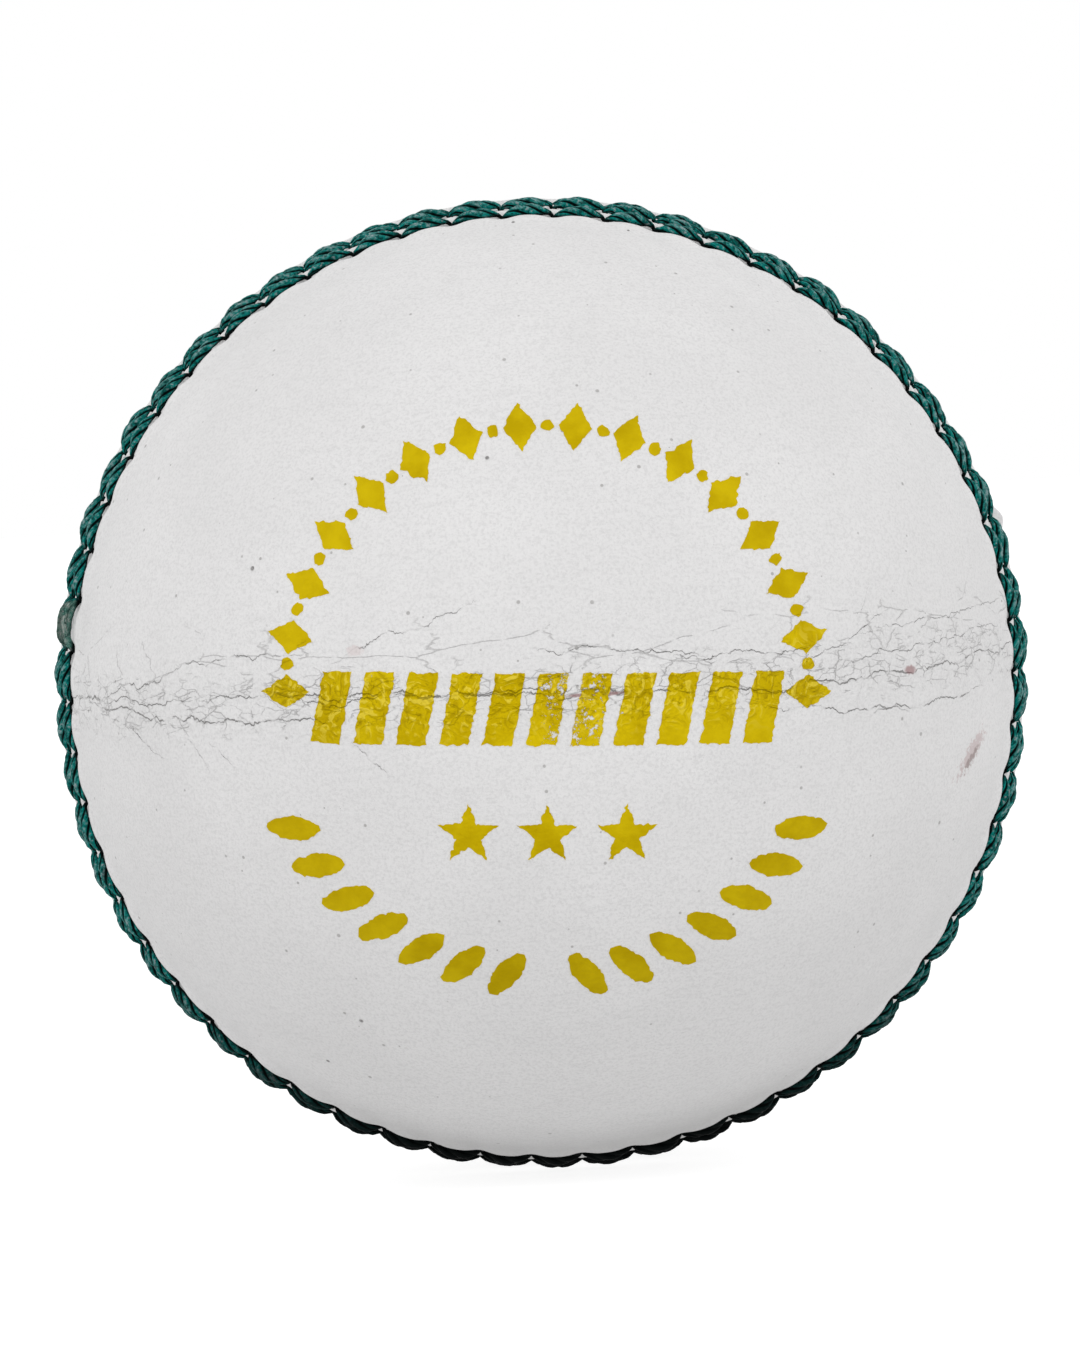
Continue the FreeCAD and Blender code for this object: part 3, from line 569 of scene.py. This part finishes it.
def makeJointThread():
    material, tree, shader = newMaterial("jointThread", Roughness=0.7, Sheen_Weight=0.2)
    place = millimetres(tree)
    fibres = noiseOf(tree, place, 5.0, 5.0)
    color = mixColor(tree, fade(tree, fibres, 0.3, 0.7), srgb(196, 188, 166), srgb(228, 222, 206))
    tree.links.new(color, shader.inputs["Base Color"])
    giveBump(tree, shader, calc(tree, "MULTIPLY", fibres, 0.08))
    return material


# leather quarters

leatherWhite = makeLeatherWhite("whiteLeather", False)
leatherCreased = makeLeatherWhite("creasedLeather", True)
goldFoil = makeGold("goldFoil", False)
goldCreased = makeGold("creasedGold", True)
seamThread = makeThread("seamThread", srgb(0, 94, 89), srgb(0, 150, 142), srgb(190, 188, 194), 0.7)
frayedThread = makeThread("frayedThread", srgb(34, 92, 82), srgb(106, 150, 138),
                          srgb(178, 176, 172), 0.9)
print("materials made")

leather = dict(
    columns=348,          # faces round half the ball
    arcFaces=92,          # faces from the pole to the seam, before the seam is made finer
    seamCuts=3,
    seamBand=10.0 * mm,
    wall=3.38 * mm,
    innerFaces=14,
    lipHeight=0.7,        # in millimetres, as the heights and depths below
    lipStart=0.75,        # where the lip begins to fall, counted from the seam
    lipEnd=1.75,
    seamGroove=0.2,       # the fine line between the two cups
    ridge=0.07,           # between two rows, and how much more beside a hole
    ridgeAtHole=0.2,
    shoulder=0.36,        # where the leather swells beside the outer row
    shoulderPlace=1.15,
    bulge=0.6,            # where the lip was knocked up
    bulgeAngle=16.6,      # degrees, from +X towards +Z
    valleyDepth=0.12,
    dimpleDepth=0.3,
    puckerDepth=0.07,
    creasedFrom=-8.5 * mm,
    creasedTo=10.0 * mm,
)


def holeOffset(place):
    # how far along its row a point lies from the nearest stitch hole, in parts of a stitch
    turn = math.atan2(place.z, place.x) / stitchAngle - ball["holeShift"]
    return turn - round(turn)


def leatherRelief(place):
    # height of the leather's face over the plain ball, in millimetres
    y = abs(place.y) / mm
    front = place.y < 0
    spot = place / mm
    fromHole = holeOffset(place) * stitchAngle * math.hypot(place.x, place.z) / mm
    between = 0.5 + 0.5 * math.cos(2 * math.pi * holeOffset(place))  # 1 at a hole, 0 mid-stitch
    angle = math.degrees(math.atan2(place.z, place.x))
    bulge = math.exp(-((angle - leather["bulgeAngle"]) / 1.3) ** 2)
    lip = leather["lipHeight"] + leather["bulge"] * bulge
    lip *= 1 - fadeStep(leather["lipStart"], leather["lipEnd"], y + 0.08 * noise.noise(spot * 0.8))
    lip *= 1 - 0.1 * between
    relief = lip - leather["seamGroove"] * math.exp(-(y / 0.16) ** 2)
    for row in ball["rows"]:
        across = y - row / mm
        if abs(across) < 3:
            relief -= leather["valleyDepth"] * math.exp(-(across / 0.7) ** 2) * (0.7 + 0.5 * between)
            slanted = across + 0.25 * fromHole
            relief -= leather["dimpleDepth"] * math.exp(-(slanted / 0.5) ** 2 - (fromHole / 0.42) ** 2)
    firstRow, rowStep = ball["rows"][0] / mm, (ball["rows"][1] - ball["rows"][0]) / mm
    if 3.2 < y < 7.2:
        ridge = leather["ridge"] + leather["ridgeAtHole"] * between ** 2
        relief += ridge * (0.5 - 0.5 * math.cos(2 * math.pi * (y - firstRow) / rowStep))
    beyond = y - ball["rows"][-1] / mm
    shoulder = math.exp(-((beyond - leather["shoulderPlace"]) / 0.62) ** 2)
    relief += leather["shoulder"] * shoulder * (1 - 0.5 * between ** 2)
    if 0 < beyond < 8:
        pucker = math.exp(-beyond / 1.3) * (1 - math.exp(-beyond / 0.3))
        uneven = 0.7 + 0.6 * noise.noise(spot * 0.35)
        relief -= leather["puckerDepth"] * pucker * between * uneven * 2.0
    relief += 0.09 * noise.noise(spot * 0.07) + 0.03 * noise.noise(spot * 0.22 + Vector((7, 3, 1)))
    if front:
        offBand = abs(spot.z - 1.0)
        band = 1 - fadeStep(0.6, 4.6, offBand)
        if band > 0:
            folds = noise.noise(Vector((spot.x * 0.35, spot.y * 0.35, spot.z * 0.9)))
            crumple = noise.noise(Vector((spot.x * 0.8, spot.y * 0.8, spot.z * 1.3)) + Vector((3, 9, 2)))
            relief += band * (0.06 * (1 - 2 * abs(folds)) * 0.6 + 0.045 * crumple)
    return relief


def makeQuarter(name, side, upward, turn):
    deselectAll()
    outer, inner = ball["radius"], ball["radius"] - leather["wall"]
    keep = lambda co: co.x > -1e-6 and co.y * side > -1e-6
    arcs = []
    for radius, faces in ((outer, leather["arcFaces"]), (inner, leather["innerFaces"])):
        bpy.ops.mesh.primitive_circle_add(vertices=faces * 4, radius=radius, fill_type="NOTHING")
        arc = bpy.context.active_object
        editMode()
        pickVertices(arc, lambda co: not keep(co))
        bpy.ops.mesh.delete(type="VERT")
        if radius == outer:
            pickVertices(arc, lambda co: abs(co.y) < leather["seamBand"])
            bpy.ops.mesh.subdivide(number_cuts=leather["seamCuts"])
        bpy.ops.object.mode_set(mode="OBJECT")
        arcs.append(arc)
    section = joinPieces(name, arcs)
    workOn(section)
    editMode()
    pickVertices(section, lambda co: abs(co.y) < 1e-6)
    bpy.ops.mesh.edge_face_add()  # the face that meets the other cup
    bpy.ops.mesh.select_all(action="SELECT")
    bpy.ops.mesh.spin(steps=leather["columns"], angle=math.pi, center=(0, 0, 0),
                      axis=(0, -1 if upward else 1, 0))
    bpy.ops.mesh.select_all(action="SELECT")
    bpy.ops.mesh.remove_doubles(threshold=2e-6)
    bpy.ops.mesh.select_all(action="DESELECT")
    bpy.ops.mesh.select_non_manifold()
    bpy.ops.mesh.edge_face_add()  # the cut face along the quarter joint
    bpy.ops.mesh.select_all(action="SELECT")
    bpy.ops.mesh.normals_make_consistent(inside=False)
    bpy.ops.object.mode_set(mode="OBJECT")
    section.data.transform(Matrix.Rotation(turn, 4, "Y"))
    for vertex in section.data.vertices:
        if vertex.co.length > (outer + inner) / 2:
            direction = vertex.co.normalized()
            vertex.co = direction * (outer + leatherRelief(direction * outer) * mm)
    smoothAll(section, 50)
    section.data.materials.append(leatherWhite)
    if side < 0:
        # only the faces near the quarter joint carry the creased finish
        section.data.materials.append(leatherCreased)
        for face in section.data.polygons:
            low, high = leather["creasedFrom"], leather["creasedTo"]
            if face.center.y < 0 and low < face.center.z < high:
                face.material_index = 1
    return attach(section, "root")


quarters = {
    "front_upper_quarter": makeQuarter("frontUpperLeather", -1, True, 0.0),
    "front_lower_quarter": makeQuarter("frontLowerLeather", -1, False, 0.0),
    "back_right_quarter": makeQuarter("backRightLeather", 1, True, math.pi / 2),
    "back_left_quarter": makeQuarter("backLeftLeather", 1, False, math.pi / 2),
}
for node, piece in quarters.items():
    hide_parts(node)
print("leather quarters made")


# seam stitches

thread = dict(
    radius=0.47 * mm,
    points=18,            # round one rope of three strands
    steps=14,             # along one rope
    turns=1.15,
    length=4.5 * mm,
    slant=0.26,           # sideways lean over the stitch's length
    grooveDepth=0.52,
    height=0.46,          # of the middle of the thread over the leather, in millimetres
)
random.seed(11)


def makeRope(name, phase, radius, turns, strands=3, points=thread["points"]):
    # a straight twisted rope standing on Z, with its strand coordinates
    length, steps = thread["length"], thread["steps"]
    deselectAll()
    bpy.ops.mesh.primitive_circle_add(vertices=points, radius=radius, fill_type="NOTHING",
                                      rotation=(0, 0, phase))
    bpy.ops.object.transform_apply(rotation=True)
    rope = bpy.context.active_object
    rope.name = name
    perStrand = points // strands
    strandPlace = rope.data.attributes.new("strand", "FLOAT_VECTOR", "POINT")
    for index, vertex in enumerate(rope.data.vertices):
        fromCrest = abs((index % perStrand) / perStrand - 0.5) * 2  # 1 in a groove, 0 on a crest
        if strands == 1:
            fromCrest *= 0.3
        vertex.co *= 1 - thread["grooveDepth"] * fromCrest ** 2.4
        strandPlace.data[index].vector = (index / points, 0.0, 1 - fromCrest)
    applyModifier(rope, "SCREW", axis="Z", angle=2 * math.pi * turns, screw_offset=length, steps=steps,
                  render_steps=steps, use_smooth_shade=True, use_merge_vertices=False)
    for vertex, item in zip(rope.data.vertices, rope.data.attributes["strand"].data):
        item.vector = (item.vector[0], vertex.co.z / mm, item.vector[2])
    workOn(rope)
    editMode("EDGE")
    for height in (0.0, length):
        pickVertices(rope, lambda co: abs(co.z - height) < 1e-7)
        bpy.ops.mesh.edge_face_add()
    bpy.ops.mesh.select_all(action="SELECT")
    bpy.ops.mesh.normals_make_consistent(inside=False)
    bpy.ops.object.mode_set(mode="OBJECT")
    return rope


def bendRope(rope, route):
    # bends the rope along a smooth path of (along, across, height, thickness)
    curve = bpy.data.curves.new("route", "CURVE")
    curve.dimensions = "3D"
    line = curve.splines.new("NURBS")
    line.points.add(len(route) - 1)
    for point, (along, across, height, thickness) in zip(line.points, route):
        point.co = (along * mm, across * mm, height * mm, 1.0)
        point.radius = thickness
    line.order_u = 3
    line.use_endpoint_u = True
    curve.resolution_u = 16
    curve.use_stretch = True
    curve.use_deform_bounds = True
    path = bpy.data.objects.new("route", curve)
    bpy.context.scene.collection.objects.link(path)
    applyModifier(rope, "CURVE", object=path, deform_axis="POS_Z")
    bpy.data.objects.remove(path)
    return rope


def stitchRoute(height, lean, flat):
    # out of one hole, resting along the leather, and down into the next hole
    ends, thick = (0.86, 0.62) if flat else (0.62, 0.52)
    return [(-1.94, -lean * 1.94, -0.45, 0.28), (-1.8, -lean * 1.8, 0.05 + 0.3 * flat, 0.32),
            (-1.3, -lean * 1.3, height * ends, thick), (-0.65, -lean * 0.65, height * 0.94, 0.94),
            (0.0, 0.0, height, 1.08), (0.7, lean * 0.7, height * 0.92, 1.0),
            (1.35, lean * 1.35, height * ends, thick + 0.06), (1.86, lean * 1.86, 0.03 + 0.3 * flat, 0.34),
            (2.02, lean * 2.02, -0.45, 0.3)]


def noteHeight(rope):
    # stores how clear of the leather each point of a bent rope is
    clear = rope.data.attributes.new("clear", "FLOAT", "POINT")
    for vertex, item in zip(rope.data.vertices, clear.data):
        item.value = min(max(vertex.co.z / mm, 0.0), 1.0)


def makeStitchKinds(count, flat):
    kinds = []
    for index in range(count):
        phase = 2 * math.pi * index / count / 3
        rope = makeRope("stitchKind", phase, thread["radius"] * random.uniform(0.94, 1.06),
                        thread["turns"] * random.uniform(0.85, 1.15))
        bendRope(rope, stitchRoute(thread["height"] * random.uniform(0.92, 1.08),
                                   thread["slant"] * random.uniform(0.85, 1.15), flat))
        noteHeight(rope)
        kinds.append(rope)
    return kinds


frayed = dict(
    angle=math.radians(170.0),  # round the ball, from +X towards +Z
    strands=6,
    fibres=16,
    reach=1.8 * mm,             # how far its worn colour goes
)


def makeFrayedStitch():
    # a worn stitch whose strands and fibres have come apart
    parts = []
    for index in range(frayed["strands"] + frayed["fibres"]):
        strand = index < frayed["strands"]
        radius = random.uniform(0.22, 0.3) if strand else random.uniform(0.03, 0.06)
        rope = makeRope("frayedStrand", 0.0, radius * mm, random.uniform(-0.3, 0.4), strands=1,
                        points=8 if strand else 5)
        across = random.uniform(-0.4, 0.35)
        lift = random.uniform(0.5, 1.35) if strand else random.uniform(0.9, 1.45)
        peak = random.uniform(-0.5, 0.6)
        bendRope(rope, [(-1.95, -0.4, -0.4, 0.6), (-1.8, -0.35 + across * 0.3, 0.1, 0.9),
                        (peak - 0.9, across * 1.1 - 0.1, lift, 1.0),
                        (peak + 0.8, across + 0.1, lift * 0.95, 1.0),
                        (1.8, 0.3 + across * 0.3, 0.05, 0.9), (1.98, 0.4, -0.5, 0.6)])
        noteHeight(rope)
        parts.append(rope)
    return joinPieces("frayedStitch", parts)


def rowFrame(angle, row, side, lift=0.0):
    # matrix that carries a stitch from the origin to its place in a row
    sine = row / ball["radius"]
    cosine = math.sqrt(1 - sine ** 2)
    outward = Vector((cosine * math.cos(angle), side * sine, cosine * math.sin(angle)))
    along = Vector((-math.sin(angle), 0, math.cos(angle)))
    across = outward.cross(along) * (1 if side > 0 else -1)
    across = across if across.y * side > 0 else -across
    place = outward * (ball["radius"] + lift)
    return Matrix((
        (along.x, across.x, outward.x, place.x), (along.y, across.y, outward.y, place.y),
        (along.z, across.z, outward.z, place.z), (0, 0, 0, 1)))


def layStitch(kind, matrix):
    copy = kind.copy()
    copy.data = kind.data.copy()
    copy.data.transform(matrix)
    if matrix.determinant() < 0:
        copy.data.flip_normals()
    bpy.context.scene.collection.objects.link(copy)
    return copy


stitchKinds = makeStitchKinds(9, False)
flatKinds = makeStitchKinds(7, True)
frayedKind = makeFrayedStitch()


def makeRow(row, side, kinds, wornIndex=None):
    copies = []
    for index in range(ball["stitches"]):
        angle = (index + 0.5 + ball["holeShift"]) * stitchAngle + random.uniform(-0.0015, 0.0015)
        small = Matrix.Diagonal((1.0, random.uniform(0.95, 1.05), random.uniform(0.9, 1.08), 1.0))
        tilt = Matrix.Rotation(random.uniform(-0.03, 0.03), 4, "Z")
        matrix = rowFrame(angle, row, side, random.uniform(-0.05, 0.05) * mm) @ tilt @ small
        kind = frayedKind if index == wornIndex else random.choice(kinds)
        copies.append(layStitch(kind, matrix))
    return copies


def finishThread(name, parts, *nodes):
    piece = joinPieces(name, parts)
    piece.data.materials.clear()
    piece.data.materials.append(seamThread)
    smoothAll(piece, 75)
    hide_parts(*nodes)
    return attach(piece, "root")


innerRow, middleRow, outerRow = ball["rows"]
frayedIndex = round(frayed["angle"] / stitchAngle - 0.5 - ball["holeShift"]) % ball["stitches"]
closing = makeRow(innerRow, -1, flatKinds) + makeRow(innerRow, 1, flatKinds)
finishThread("closingStitches", closing, "closing_stitches")
finishThread("frontMiddleStitches", makeRow(middleRow, -1, flatKinds), "front_middle_stitches")
frontOuter = finishThread("frontOuterStitches", makeRow(outerRow, -1, stitchKinds, frayedIndex),
                          "front_outer_stitches")
finishThread("backMiddleStitches", makeRow(middleRow, 1, flatKinds), "back_middle_stitches")
finishThread("backOuterStitches", makeRow(outerRow, 1, stitchKinds), "back_outer_stitches")
frontOuter.data.materials.append(frayedThread)
frayedAngle = (frayedIndex + 0.5 + ball["holeShift"]) * stitchAngle
frayedPlace = rowFrame(frayedAngle, outerRow, -1).to_translation()
for face in frontOuter.data.polygons:
    if (face.center - frayedPlace).length < frayed["reach"]:
        face.material_index = 1
for kind in stitchKinds + flatKinds + [frayedKind]:
    bpy.data.objects.remove(kind)
print("stitches made")


# gold foil ornament

foil = dict(
    centre=(0.3, 1.1),
    turn=math.radians(3.3),
    arcRadius=17.9,
    leafRadius=20.0,
    markHeight=3.3,
    barHeight=4.9,
    cell=0.17,            # size of one face of a mark
    lift=0.03 * mm,
    thickness=0.03 * mm,
)


def makeMark(kind, width, height, lean=0.0):
    # one flat mark in the XZ plane, as a fine grid that is drawn into shape
    deselectAll()
    across = max(int(width / foil["cell"]), 4)
    up = max(int(height / foil["cell"]), 4)
    bpy.ops.mesh.primitive_grid_add(x_subdivisions=across, y_subdivisions=up, size=2)
    mark = bpy.context.active_object
    for vertex in mark.data.vertices:
        u, v = vertex.co.x, vertex.co.y
        if kind == "lozenge":
            u, v = (u - v) / 2, (u + v) / 2
        elif kind == "dot":
            u, v = u * math.sqrt(1 - v * v / 2), v * math.sqrt(1 - u * u / 2)
        elif kind == "leaf":
            u *= math.sqrt(max(1 - v * v, 0.0)) * 0.85 + 0.15 * (1 - abs(v))
        elif kind == "kite":
            # centre, valley, tip and valley of one ray of a star
            a, b = (u + 1) / 2, (v + 1) / 2
            valley, rays = 0.42, math.radians(36)
            left = Vector((-math.sin(rays), math.cos(rays))) * valley
            right = Vector((math.sin(rays), math.cos(rays))) * valley
            flat = left * (1 - a) * b + right * a * (1 - b) + Vector((0, 1)) * a * b
            u, v = flat.x, flat.y
        vertex.co = (u * width / 2 + lean * v, v * height / 2, 0)
    return mark


def ragged(place):
    # torn edges of the stamp
    spot = Vector((place.x, place.y, 0)) * 1.7
    wide = Vector((noise.noise(spot), noise.noise(spot + Vector((5, 5, 5))), 0)) * 0.13
    spot *= 2.3
    return wide + Vector((noise.noise(spot), noise.noise(spot + Vector((5, 5, 5))), 0)) * 0.12


def putMark(marks, mark, x, z, turn=0.0):
    mark.data.transform(Matrix.Translation((x, z, 0)) @ Matrix.Rotation(turn, 4, "Z"))
    marks.append(mark)


def onRing(marks, mark, radius, degrees, turn=0.0):
    angle = math.radians(degrees)
    putMark(marks, mark, radius * math.cos(angle), radius * math.sin(angle), angle - math.pi / 2 + turn)


def makeFoil():
    marks = []
    for index in range(16):
        angle = -1.0 + index * 182.0 / 15
        onRing(marks, makeMark("lozenge", 2.3, foil["markHeight"]), foil["arcRadius"], angle)
        if index < 15:
            onRing(marks, makeMark("dot", 0.84, 0.84), foil["arcRadius"], angle + 91.0 / 15)
    for index in range(11):
        putMark(marks, makeMark("bar", 2.0, foil["barHeight"], 0.45), (index - 5) * 2.95, -1.3)
    for star in (-1, 0, 1):
        for ray in range(5):
            putMark(marks, makeMark("kite", 4.3, 4.3), 5.4 * star, -9.9, math.radians(72 * ray))
    for index in range(7):
        for side in (-1, 1):
            onRing(marks, makeMark("leaf", 1.7, foil["markHeight"] * 1.15), foil["leafRadius"],
                   270 + side * (8.0 + index * 8.8), math.radians(side * 32))
    piece = joinPieces("goldOrnament", marks)
    workOn(piece)
    editMode()
    bpy.ops.mesh.select_all(action="SELECT")
    bpy.ops.mesh.remove_doubles(threshold=0.01)
    bpy.ops.object.mode_set(mode="OBJECT")
    for vertex in piece.data.vertices:
        vertex.co += ragged(vertex.co)
    # stand the marks up in front of the ball and press them onto the leather
    x, z = foil["centre"]
    stand = Matrix.Rotation(math.pi / 2, 4, "X")
    piece.data.transform(Matrix.Translation((0, -ball["radius"] - 5 * mm, 0))
                         @ Matrix.Rotation(foil["turn"], 4, "Y") @ Matrix.Scale(mm, 4)
                         @ Matrix.Translation((x, 0, z)) @ stand)
    target = joinPieces("foilTarget", [layStitch(quarters[node], Matrix.Identity(4))
                                       for node in ("front_upper_quarter", "front_lower_quarter")])
    applyModifier(piece, "SHRINKWRAP", target=target, wrap_method="PROJECT", use_project_y=True,
                  use_positive_direction=True, use_negative_direction=False)
    for vertex in piece.data.vertices:
        vertex.co += vertex.co.normalized() * foil["lift"]
    bpy.data.objects.remove(target)
    workOn(piece)
    editMode()
    bpy.ops.mesh.select_all(action="SELECT")
    bpy.ops.mesh.normals_make_consistent(inside=False)
    bpy.ops.object.mode_set(mode="OBJECT")
    outward = sum(face.normal.y * face.area for face in piece.data.polygons)
    if outward > 0:
        piece.data.flip_normals()
    applyModifier(piece, "SOLIDIFY", thickness=foil["thickness"], offset=-1.0)
    smoothAll(piece, 40)
    piece.data.materials.clear()
    piece.data.materials.append(goldFoil)
    piece.data.materials.append(goldCreased)
    for face in piece.data.polygons:
        if -8 * mm < face.center.z < 8 * mm:
            face.material_index = 1
    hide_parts("foil_stamp")
    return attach(piece, "root")


makeFoil()
print("foil made")


# the hidden core keeps its CAD shapes

cork = makeCork("cork", srgb(150, 104, 66), srgb(196, 150, 104), 1.1)
corkRubber = makeCork("corkRubber", srgb(58, 38, 30), srgb(150, 106, 72), 0.7)
yarn = makeYarn()
liningLeather = makeLiningLeather()
jointThread = makeJointThread()
coreFinish = {
    "cork_rubber_nucleus": corkRubber,
    "inner_yarn_winding": yarn,
    "middle_yarn_winding": yarn,
    "outer_yarn_winding": yarn,
    "inner_cork_strips": cork,
    "outer_cork_strips": cork,
    "front_upper_lining": liningLeather,
    "front_lower_lining": liningLeather,
    "back_right_lining": liningLeather,
    "back_left_lining": liningLeather,
    "front_joint_stitches": jointThread,
    "back_joint_stitches": jointThread,
}
for node, material in coreFinish.items():
    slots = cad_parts[node].data.materials
    slots.clear()
    slots.append(material)
print("core finished")


# stage, light and camera

studio = dict(
    sky=0.91,             # light from straight ahead
    skyFall=0.27,         # how much less comes from above and below
    skyTilt=0.165,        # how much more comes from above than from below
    floorTone=(0.35, 0.35, 0.35, 1.0),
    floorGlow=0.85,
    white=(1.0, 1.0, 1.0, 1.0),
    lamps=(               # name, place, size in metres, power in watts
        ("keyLamp", (0.05, -0.75, 0.75), 0.7, 0.3),
        ("frontLamp", (0.0, -1.3, 0.15), 0.9, 1.7),
    ),
)


def makeStage():
    deselectAll()
    bpy.ops.mesh.primitive_plane_add(size=6.0, location=(0, 0, 0))
    floor = bpy.context.active_object
    floor.name = "floor"
    floor.data.transform(Matrix.Translation((0, 0, cadLow.z - 0.3 * mm)))
    material, tree, shader = newMaterial("paleFloor", Roughness=0.9, Base_Color=studio["floorTone"],
                                         Emission_Color=studio["white"],
                                         Emission_Strength=studio["floorGlow"])
    floor.data.materials.append(material)
    floor.visible_diffuse = False
    floor.visible_glossy = False
    world = bpy.data.worlds.new("studio")
    bpy.context.scene.world = world
    world.use_nodes = True
    tree = world.node_tree
    background = tree.nodes["Background"]
    way = addNode(tree, "ShaderNodeTexCoord").outputs["Generated"]
    height = splitPlace(tree, way)["Z"]
    seen = addNode(tree, "ShaderNodeLightPath").outputs["Is Camera Ray"]
    squared = calc(tree, "MULTIPLY", height, height)
    level = calc(tree, "MULTIPLY_ADD", squared, -studio["skyFall"], studio["sky"])
    level = calc(tree, "MULTIPLY_ADD", height, studio["skyTilt"], level)
    light = addNode(tree, "ShaderNodeCombineColor", {0: level, 1: level, 2: level}).outputs[0]
    tree.links.new(mixColor(tree, seen, light, studio["white"]), background.inputs["Color"])


def makeLamp(name, place, size, power):
    data = bpy.data.lights.new(name, "AREA")
    data.shape = "DISK"
    data.size = size
    data.energy = power
    lamp = bpy.data.objects.new(name, data)
    lamp.location = place
    lamp.rotation_euler = (-Vector(place)).to_track_quat("-Z", "Y").to_euler()
    bpy.context.scene.collection.objects.link(lamp)
    return lamp


camera = dict(distance=0.4, elevation=2.7, roll=3.3, lens=180.0, aim=(0.13, -0.5))


def makeCamera():
    data = bpy.data.cameras.new("camera")
    data.sensor_fit = "HORIZONTAL"
    data.sensor_width = 36.0
    data.lens = camera["lens"]
    data.clip_start = 0.01
    view = bpy.data.objects.new("camera", data)
    elevation = math.radians(camera["elevation"])
    place = Vector((0, -math.cos(elevation), math.sin(elevation))) * camera["distance"]
    look = (-place).to_track_quat("-Z", "Y").to_matrix().to_4x4()
    aimX, aimZ = camera["aim"]
    view.matrix_world = (Matrix.Translation(place) @ look
                         @ Matrix.Rotation(math.radians(-camera["roll"]), 4, "Z")
                         @ Matrix.Translation((-aimX * mm, -aimZ * mm, 0)))
    bpy.context.scene.collection.objects.link(view)
    bpy.context.scene.camera = view


makeStage()
for lamp in studio["lamps"]:
    makeLamp(*lamp)
makeCamera()
bpy.context.scene.view_settings.view_transform = "Standard"
print("stage, light and camera made")
